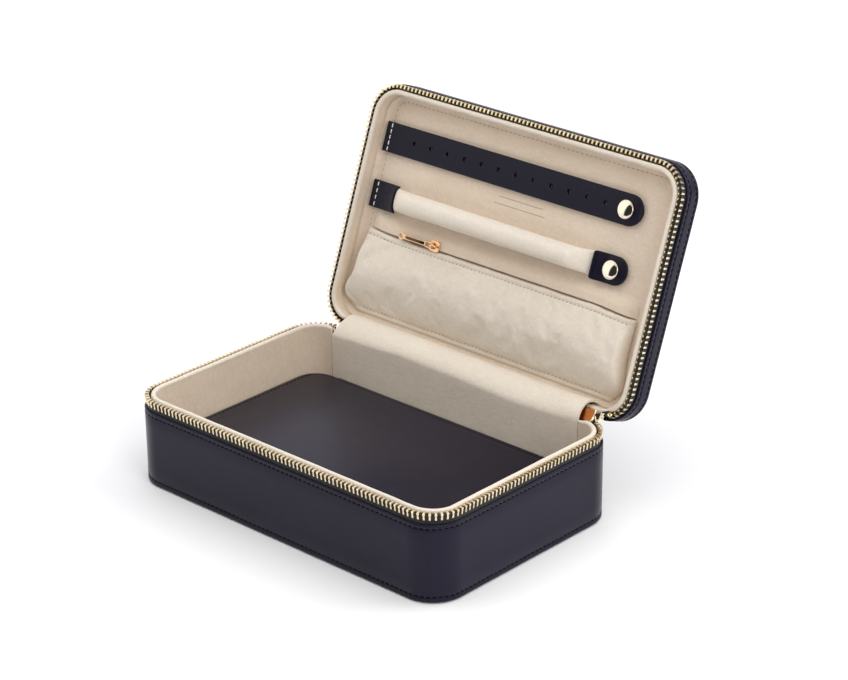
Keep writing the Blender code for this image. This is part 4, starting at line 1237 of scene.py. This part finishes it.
def pouch_cage():
    """The pouch before it is filled."""
    back = POUCH[1].z
    deep = 0.86 * (back - POUCH[0].z)
    across = np.concatenate([[0, 0.4, 1.0, 1.9, 2.6, 3.2, 3.8, 4.6], np.arange(6.0, 39.0, 1.5),
                             [39.6, 40.3, 41.2, 42.4, 43.5]])
    ys = POUCH_LIP + across / across[-1] * (POUCH_FOOT - POUCH_LIP)
    share = np.linspace(0, 1, 111)
    share = 0.5 - 0.5 * np.sign(0.5 - share) * np.abs(1 - 2 * share) ** 0.92
    front = np.zeros((len(ys), len(share), 3))
    for row, y in enumerate(ys):
        left, right = pouch_sides(y)
        x = left + (right - left) * share
        from_side = np.minimum(x - left, right - x)
        lip = 0.42 * fillet(y - POUCH_LIP, 1.2 * MM) + 0.58 * smoothstep(y - POUCH_LIP, 1.6 * MM, 17 * MM)
        low = 0.13 * fillet(POUCH_FOOT - y, 0.8 * MM) + 0.87 * fillet(POUCH_FOOT - y - POUCH_SEAM, 25 * MM)
        body = min(lip, low) if abs(lip - low) > 0.05 else (lip + low) / 2 - 0.0125
        depth = deep * max(body, 0.0) * fillet(from_side, 4.5 * MM) ** 0.8
        front[row, :, 0], front[row, :, 1], front[row, :, 2] = x, y, back - depth
    rear = front.copy()
    rear[:, :, 2] = back
    return merged([sheet(front), sheet(rear)])


def lip_swayed(points):
    """The pouch's top edge climbs at its left end and drops at its right end."""
    x, y = points[:, 0], points[:, 1]
    sway = 1.4 * MM * smoothstep(x, 62 * MM, 92 * MM) - 1.1 * MM * smoothstep(-x, 68 * MM, 94 * MM)
    points[:, 1] += sway * np.clip((POUCH_FOOT - y) / (POUCH_FOOT - POUCH_LIP), 0, 1) ** 2
    return points


def puff(mesh):
    """Cloth simulation: the pouch is sewn to the panel at its back and edges, and filled from inside."""
    obj = linked("pouch_cloth", mesh)
    rest = points_of(mesh.vertices)
    sewn = (rest[:, 2] > rest[:, 2].max() - 0.02 * MM) | (rest[:, 1] > POUCH_FOOT - POUCH_SEAM + 0.3 * MM)
    held = np.abs(rest[:, 1] - POUCH_LIP - POUCH_SEAM) < 0.35 * MM
    group = obj.vertex_groups.new(name="sewn")
    group.add(np.nonzero(sewn | held)[0].tolist(), 1.0, "REPLACE")
    cloth = obj.modifiers.new("cloth", "CLOTH")
    for key, value in CLOTH.items():
        setattr(cloth.settings, key, value)
    cloth.settings.vertex_group_mass = "sewn"
    cloth.settings.effector_weights.gravity = 0.0
    cloth.collision_settings.use_collision = False
    cloth.point_cache.frame_start = 1
    cloth.point_cache.frame_end = CLOTH_FRAMES
    scene = bpy.context.scene
    for step in range(1, CLOTH_FRAMES + 1):
        scene.frame_set(step)
    graph = bpy.context.evaluated_depsgraph_get()
    shift = points_of(obj.evaluated_get(graph).data.vertices) - rest
    size = np.linalg.norm(shift, axis=1)
    shift *= (np.tanh(size / POUCH_PUFF) * POUCH_PUFF / np.maximum(size, 1e-9))[:, None]
    placed_points(mesh, rest + shift)
    scene.frame_set(1)
    obj.vertex_groups.clear()
    bpy.data.objects.remove(obj)


def subdivided(mesh):
    obj = linked("soft", mesh)
    obj.modifiers.new("soft", "SUBSURF").levels = 1
    made = evaluated_mesh(obj)
    bpy.data.objects.remove(obj)
    return made


def pouch():
    """Filled suede pouch with a lip over its zip, stitched along the top and the bottom."""
    mesh = mesh_of("pouch_cage", pouch_cage(), weld=True)
    puff(mesh)
    mesh = subdivided(mesh)
    points = points_of(mesh.vertices)
    front = points[:, 2] < POUCH[1].z - 0.3 * MM
    top_seam, foot_seam = POUCH_LIP + POUCH_SEAM, POUCH_FOOT - POUCH_SEAM
    for y in (top_seam, foot_seam):
        points[:, 2] += 0.38 * MM * np.exp(-(((points[:, 1] - y) / (0.75 * MM)) ** 2)) * front
    placed_points(mesh, lip_swayed(points))
    surface = surface_of(piece("pouch_suede", mesh, "pouch_suede", "lid", ["pouch"], sharp=70))
    rows = []
    for y, inset in ((top_seam, 3.0 * MM), (foot_seam, 8.0 * MM)):
        left, right = pouch_sides(y)
        line = lip_swayed(densely([(left + inset, y, 0.05), (right - inset, y, 0.05)], 1.0 * MM))
        rows.append(stitches(*laid_on(surface, line, INTO_PANEL), 2.6, 1.5, 0.23))
    piece("pouch_stitches", merged(rows), "shaded_cream_thread", "lid")


def pouch_zip_fold():
    """The panel's suede, rising to a folded edge beside the chain so that it hides most of it."""
    near, far = POUCH_TAPE[0].y, POUCH_LIP - 0.55 * MM
    back, face, panel = POUCH_TAPE[1].z + 0.5 * MM, POUCH_CHAIN[0].z, LID_PANEL[0].z
    rise = panel - face + 0.55 * MM
    edge = 0.5 * MM
    section = [(near - 5.0 * MM, back)]
    section += [(near + share * (far - edge - near), panel - rise * smoothstep(share, -0.95, 0.42))
                for share in np.linspace(-0.6, 0.9, 9)]
    section += [(far - edge + edge * math.cos(t), face - 0.05 * MM - edge * math.sin(t))
                for t in np.linspace(0.5, -0.5, 7) * math.pi]
    section += [(far - 2.2 * MM, back)]
    low, high = POUCH_TAPE[0].x - 4 * MM, POUCH_TAPE[1].x + 3 * MM
    rings = []
    for x in np.linspace(low, high, 110):
        flat = smoothstep(min(x - low, high - x), 0.0, 7 * MM)
        sway = 0.12 * MM * waver(x / (14 * MM), 0.4, 1.3)
        rings.append([(x, y + sway, back - (back - z) * (0.05 + 0.95 * flat)) for y, z in section])
    points, faces = loft(rings)
    return lip_swayed(points), faces


def pouch_chain():
    """The suede fold over the pouch's fine zip, and its teeth."""
    piece("pouch_zip_tape_strip", pouch_zip_fold(), "cream_suede", "lid", ["pouch_zip_tape"], sharp=80)
    low, high = POUCH_CHAIN
    xs = np.arange(low.x + 1 * MM, high.x - 1 * MM, 1.5 * MM)
    origins = np.column_stack([xs, np.full(len(xs), (low.y + high.y) / 2), np.full(len(xs), high.z)])
    outline = centred_box(0, 0, 0.45 * MM, 1.6 * MM, 0.3 * MM, 3)
    bar = filled_plate(outline, 1.0 * MM, 0.2 * MM, (0, 0, 0.5 * MM))
    teeth = placed_teeth(bar, origins, (1, 0, 0), (0, 1, 0), (0, 0, -1))
    piece("pouch_zip_teeth_row", teeth, "rose_gold", "lid", ["pouch_zip_teeth"], weld=True, sharp=40)


def pouch_slider():
    """A waisted plate over two rails, with a bail for the pull."""
    centre, (half_x, half_y, _) = middle_and_half(POUCH_SLIDER)
    plate_z = POUCH_CHAIN[0].z - 0.3 * MM
    body = mirrored([(1, 0.72), (0.55, 1), (-0.6, 0.86), (-1, 0.62)], half_x, half_y)
    parts = [filled_plate(body, 1.5 * MM, 0.3 * MM, (centre[0], centre[1], plate_z - 0.75 * MM))]
    rail = centred_box(0, 0, half_x * 0.85, 0.45 * MM, 0.3 * MM, 3)
    for side in (-1, 1):
        place = (centre[0], centre[1] + side * (half_y - 0.5 * MM), plate_z + 0.3 * MM)
        parts.append(filled_plate(rail, 1.2 * MM, 0.2 * MM, place))
    s, c = np.sin(np.linspace(0, math.pi, 15)), np.cos(np.linspace(0, math.pi, 15))
    foot = plate_z - 1.4 * MM
    bail = np.column_stack([centre[0] + 2.15 * MM * c, np.full(15, centre[1]),
                            foot - (foot - POUCH_SLIDER[0].z) * s**0.7 + 0.45 * MM * s])
    parts.append(tube(bail, 0.42 * MM, (0, 1, 0), 10, 1.6))
    piece("pouch_slider_body", merged(parts), "rose_gold", "pouch_slider", ["pouch_zip_slider"], sharp=40)


def pouch_pull():
    """A slotted pull with a ring end, and the dark inlay in its slot."""
    _, y, z = middle_and_half(POUCH_PULL)[0]
    ring_x, end = POUCH_PULL[0].x + 2.15 * MM, POUCH_PULL[1].x
    stem, head, shoulder = mm(1.25, 1.75, 0.5)
    upper = [(end, y + head - shoulder), (end - shoulder, y + head), (end - 4.4 * MM, y + head),
             (end - 5.6 * MM, y + stem), (ring_x + 4.2 * MM, y + stem)]
    lower = [(x, 2 * y - other) for x, other in upper[::-1]]
    outline = arc(ring_x, y, 2.1 * MM, 36, 324, 22) + lower + upper
    slot = rounded_box(ring_x + 3.4 * MM, end - 6.0 * MM, y - 0.72 * MM, y + 0.72 * MM, 0.5 * MM, 4)
    window = rounded_box(end - 4.6 * MM, end - 1.1 * MM, y - 1.05 * MM, y + 1.05 * MM, 0.4 * MM, 3)
    holes = (circle(ring_x, y, 1.15 * MM), slot, window)
    pull = filled_plate(outline, 1.0 * MM, 0.28 * MM, (0, 0, z), holes=holes)
    piece("pouch_pull_tab", pull, "rose_gold", "pouch_pull", ["pouch_zip_pull"], weld=True, sharp=40)
    inlay = rounded_box(ring_x + 3.2 * MM, end - 5.8 * MM, y - 0.85 * MM, y + 0.85 * MM, 0.5 * MM, 4)
    inlay = filled_plate(inlay, 0.4 * MM, 0.1 * MM, (0, 0, z + 0.1 * MM))
    piece("pouch_pull_inlay", inlay, "smoked_gold", "pouch_pull", weld=True, sharp=40)


# Hinge end of the main zip

TAIL_MIDDLE_Z = (MAIN_TAIL[0].z + MAIN_TAIL[1].z) / 2
MAIN_BAIL_X = (MAIN_PULL[0].x + MAIN_PULL[1].x) / 2


def main_slider():
    """Two waisted plates with a wedge and two rails between them, a bail outside and a bright edge inside."""
    low, high = MAIN_SLIDER
    (centre_x, _, _), (half_x, _, half_z) = middle_and_half(MAIN_SLIDER)
    body = [(1, 0.80), (0.80, 1), (0.2, 0.97), (-0.7, 0.78), (-1, 0.66)]
    body = mirrored(body, half_x, half_z)
    parts = []
    for y in (low.y + 0.45 * MM, low.y + 3.95 * MM):
        parts.append(filled_plate(body, 0.9 * MM, 0.3 * MM, (centre_x, y, TAIL_MIDDLE_Z), UPRIGHT))
    between = low.y + 2.2 * MM
    wedge = [(x * MM, y * MM) for x, y in ((0, 1.9), (2.9, 1.5), (3.1, 0), (2.9, -1.5), (0, -1.9), (-1.2, 0))]
    place = (high.x - 3.4 * MM, between, TAIL_MIDDLE_Z)
    parts.append(filled_plate(wedge, 3.4 * MM, 0.15 * MM, place, UPRIGHT))
    start, end, half = -half_x * 0.95, half_x * 0.2, 0.4 * MM
    rail = [(start, -half), (end, -half), (end, half), (start, half)]
    for side in (-1, 1):
        tilt = Matrix.Rotation(side * math.radians(7), 4, "Y")
        place = (centre_x, between, TAIL_MIDDLE_Z + side * half_z * 0.76)
        parts.append(filled_plate(rail, 3.4 * MM, 0.1 * MM, place, tilt @ UPRIGHT))
    turns = np.linspace(0, math.pi, 17)
    bail_y = low.y + 4.2 * MM + 2.55 * MM * np.sin(turns) ** 0.55
    bail = np.column_stack([np.full(17, MAIN_BAIL_X), bail_y, TAIL_MIDDLE_Z + 2.15 * MM * np.cos(turns)])
    parts.append(tube(bail, 0.45 * MM, (1, 0, 0), 10, 1.8))
    # The plates are in a darkened copy of the gold: painted shade.
    piece("main_slider_body", merged(parts), "shaded_slider_gold", "main_slider", ["main_zip_slider"], sharp=40)
    # A pale gold cord on the inner plate's edge, much lighter than the darkened plates: a painted highlight.
    span = np.linspace(-0.92, 0.92, 9)
    edge_x = high.x + 0.1 * MM - 0.9 * MM * span**4
    edge = np.column_stack([edge_x, np.full(9, low.y + 0.2 * MM), TAIL_MIDDLE_Z + span * half_z])
    edge = tube(edge, 0.62 * MM, (0, 1, 0), 10, 1.2)
    piece("main_slider_highlight_edge", edge, "pale_gold", "main_slider", sharp=60)


def main_pull():
    """A long pull with a square window, a slot and an eye."""
    low, high = MAIN_PULL
    half, top, foot = (high.x - low.x) / 2, high.z, low.z
    right = [(half * 0.72, top), (half * 0.80, top - 0.4 * MM), (half * 0.86, top - 6.6 * MM)]
    left = [(-x, z) for x, z in right[::-1]]
    outline = right + arc(0, foot + half, half, 0, -180, 18) + left
    window = rounded_box(-1.75 * MM, 1.75 * MM, top - 6.3 * MM, top - 1.3 * MM, 0.6 * MM)
    slot = rounded_box(-0.75 * MM, 0.75 * MM, foot + 5.2 * MM, top - 8.2 * MM, 0.74 * MM)
    holes = (window, slot, circle(0, foot + half, 1.35 * MM))
    place = (MAIN_BAIL_X, (low.y + high.y) / 2, 0)
    pull = filled_plate(outline, high.y - low.y, 0.3 * MM, place, UPRIGHT, holes)
    piece("main_pull_tab", pull, "rose_gold", "main_pull", ["main_zip_pull"], weld=True, sharp=40)


def main_tail():
    """The closed end of the chain under the gusset."""
    low, high = MAIN_TAIL
    shape = tooth_shape()
    reach = (high.z - low.z) / 2 + 0.9 * MM
    rows = []
    for side in (-1, 1):
        xs = np.arange(low.x + 1 * MM, high.x - 1 * MM, TOOTH_PITCH) + (side + 1) * TOOTH_PITCH / 4
        y, z = (low.y + high.y) / 2, TAIL_MIDDLE_Z + side * reach
        origins = np.array([(x, y, z) for x in xs])
        rows.append(placed_teeth(shape, origins, (1, 0, 0), (0, 1, 0), (0, 0, -side)))
    piece("main_chain_end", merged(rows), "pale_gold", "base", ["main_zip_tail"], sharp=40, turn=LEAN)


# Compartment

COVER_SEAM = 2.7 * MM
COVER_RADIUS = 13 * MM
COVER_HINGE_HALF_WIDTH = 80 * MM


def cover():
    """The leather flap over the lower tray, with a stitched border on its three free sides."""
    half_x, low_y, high_y = COVER[1].x, COVER[0].y, COVER[1].y
    insets = mm(0.0, 0.08, 0.3, 0.8, 1.7, 2.3, 2.7, 3.1, 3.7, 5.2, 7.5, 10.0, 13.0)
    drop = mm(0.62, 0.32, 0.10, 0.0, 0.0, 0.07, 0.17, 0.07, 0.0, 0.0, 0.0, 0.0, 0.0)
    top, under = COVER[1].z, COVER[0].z

    def soft(x, y):
        edge = min(half_x - abs(x), y - low_y, high_y - y) / (16 * MM)
        swell = 0.35 * MM * smoothstep(edge, 0.15, 1.6)
        return swell + 0.10 * MM * noise.noise(Vector((x, y, 0.9)) / (38 * MM))

    part = padded_panel(half_x, low_y, high_y, COVER_RADIUS, insets, top - drop, under, 2.6 * MM, soft)
    flap = piece("cover_flap_leather", part, "cover_leather", "cover", ["cover_leather"], weld=True)
    corner = COVER_RADIUS - COVER_SEAM
    side, front, back = half_x - COVER_SEAM, low_y + COVER_SEAM, high_y - 4 * MM
    loop = [(-side, back)] + arc(-side + corner, front + corner, corner, 180, 270, 10)
    loop += arc(side - corner, front + corner, corner, 270, 360, 10) + [(side, back)]
    line = densely([(x, y, top) for x, y in loop], 1.2 * MM)
    thread = stitches(*laid_on(surface_of(flap), line, (0, 0, -1)), 2.9, 2.2, 0.22)
    piece("cover_stitches", thread, "shaded_navy_thread", "cover")


def cover_hinge():
    """The leather strip that climbs the back lining and turns over to the cover."""
    top = COVER[1].z
    half = COVER_HINGE_HALF_WIDTH
    wall_y = HALF_DEPTH - LINING_INSETS[1] - 0.75 * MM
    bend = 1.6 * MM
    line = [(wall_y, z * MM) for z in (9, 13, 17)]
    line += [(wall_y - bend * (1 - math.cos(a)), top - 0.4 * MM - bend + bend * math.sin(a))
             for a in np.linspace(0, math.pi / 2, 7)]
    strip = hinge_sheet([np.array(line)] * 9, half, half, 0.8 * MM, 0.0, 31)
    piece("cover_hinge_leather", strip, "cover_leather", "base", ["cover_hinge_strip"])


KEPT_NODES = {
    "greyboard": ("base_floor_board", "base_wall_board", "lid_top_board", "lid_wall_board", "cover_board"),
    "cream_suede": ("tray_floor", "tray_frame", "tray_divider_left", "tray_divider_right", "cover_backing"),
    "pale_gold": ("strap_snap_stud", "roll_snap_stud"),
}


def inner_frame():
    """Nodes that keep their CAD shape get their finish."""
    for finish, nodes in KEPT_NODES.items():
        for node in nodes:
            materials = frame["nodes"][node].data.materials
            materials.clear()
            materials.append(FINISHES[finish])


# Stage

CAMERA_AZIMUTH = math.radians(42.75)
CAMERA_ELEVATION = math.radians(23.83)
CAMERA_ROLL = math.radians(-0.45)
CAMERA_DISTANCE = 1.4684
CAMERA_TARGET = Vector((-0.0458, 0.0927, 0.0420))
CAMERA_LENS = 117.0
CAMERA_SHIFT = (-0.0052, -0.0008)
SOFTBOXES = (  # direction, cosines where it begins and is full, colour
    ((-0.70, 0.60, 0.34), (0.86, 0.97), (0.95, 0.93, 1.05)),
    ((-0.80, -0.62, 0.16), (0.72, 0.90), (1.20, 1.16, 1.08)),
    ((0.02, -0.99, 0.08), (0.80, 0.83), (0.03, 0.03, 0.035)),
)
LIGHTS = (  # name, place, size, power, colour
    ("back_light", (0.9, 1.2, 1.5), 1.2, 13.0, (1.0, 0.98, 0.95)),
    ("top_light", (-0.4, -0.1, 2.0), 1.6, 8.5, (0.97, 0.98, 1.0)),
    ("side_light", (1.7, -0.5, 1.0), 1.0, 10.0, (1.0, 0.95, 0.88)),
)


def room():
    """A white studio. What is lit or mirrored sees it fall off downwards, with two panels and a dark flag."""
    world = bpy.data.worlds.new("studio")
    bpy.context.scene.world = world
    world.use_nodes = True
    tree = world.node_tree
    incoming = add(tree, "NewGeometry").outputs["Incoming"]
    ray = add(tree, "VectorMath", {0: incoming, "Scale": -1.0}, operation="SCALE").outputs["Vector"]
    height = add(tree, "SeparateXYZ", {0: ray}).outputs["Z"]
    glow = blend_colours(tree, ranged(tree, height, 0.05, 0.85), (0.46, 0.46, 0.49), (1.0, 1.0, 1.02))
    for direction, cosines, colour in SOFTBOXES:
        facing = dotted(tree, ray, tuple(Vector(direction).normalized()))
        glow = blend_colours(tree, ranged(tree, facing, *cosines), glow, colour)
    seen = add(tree, "LightPath").outputs["Is Camera Ray"]
    tone = blend_colours(tree, seen, glow, (1.0, 1.0, 1.0))
    connect(tree, tree.nodes["Background"], Color=tone, Strength=1.0)


def floor():
    bpy.ops.mesh.primitive_plane_add(size=8.0, location=(0, 0, -0.2 * MM))
    obj = bpy.context.object
    obj.name = "studio_floor"
    paper = bpy.data.materials.new("studio_paper")
    paper.use_nodes = True
    tree = paper.node_tree
    where = add(tree, "TexCoord").outputs["Object"]
    tone = blend_colours(tree, noise_of(tree, where, 3.0), (0.93, 0.93, 0.94), (0.95, 0.95, 0.95))
    connect(tree, tree.nodes["Principled BSDF"], Base_Color=tone, Roughness=0.9, Specular_IOR_Level=0.1)
    obj.data.materials.append(paper)


def lights():
    """Three large soft lights, all turned to the case."""
    for name, place, size, power, colour in LIGHTS:
        data = bpy.data.lights.new(name, "AREA")
        data.shape = "SQUARE"
        data.size = size
        data.energy = power
        data.color = colour
        light = linked(name, data)
        light.location = place
        light.rotation_euler = (Vector((0, 0, 0.05)) - Vector(place)).to_track_quat("-Z", "Y").to_euler()


def camera():
    data = bpy.data.cameras.new("camera")
    data.lens = CAMERA_LENS
    data.sensor_width = 36.0
    data.shift_x, data.shift_y = CAMERA_SHIFT
    data.clip_start, data.clip_end = 0.05, 20.0
    obj = linked("camera", data)
    across = math.cos(CAMERA_ELEVATION)
    back = Vector((math.sin(CAMERA_AZIMUTH) * across, -math.cos(CAMERA_AZIMUTH) * across,
                   math.sin(CAMERA_ELEVATION)))
    obj.location = CAMERA_TARGET + back * CAMERA_DISTANCE
    obj.rotation_mode = "QUATERNION"
    roll = Matrix.Rotation(CAMERA_ROLL, 4, "Z").to_quaternion()
    obj.rotation_quaternion = (-back).to_track_quat("-Z", "Y") @ roll
    bpy.context.scene.camera = obj
    bpy.context.scene.view_settings.view_transform = "Standard"


for build in (make_finishes, leather_walls, leather_panels, zips, linings, gusset, spine, lid_panel,
              earring_strap, ring_roll, left_tab, right_tab, snaps, pouch, pouch_chain, pouch_slider,
              pouch_pull, main_slider, main_pull, main_tail, cover, cover_hinge, inner_frame, floor, room,
              lights, camera):
    build()

bpy.context.view_layer.update()
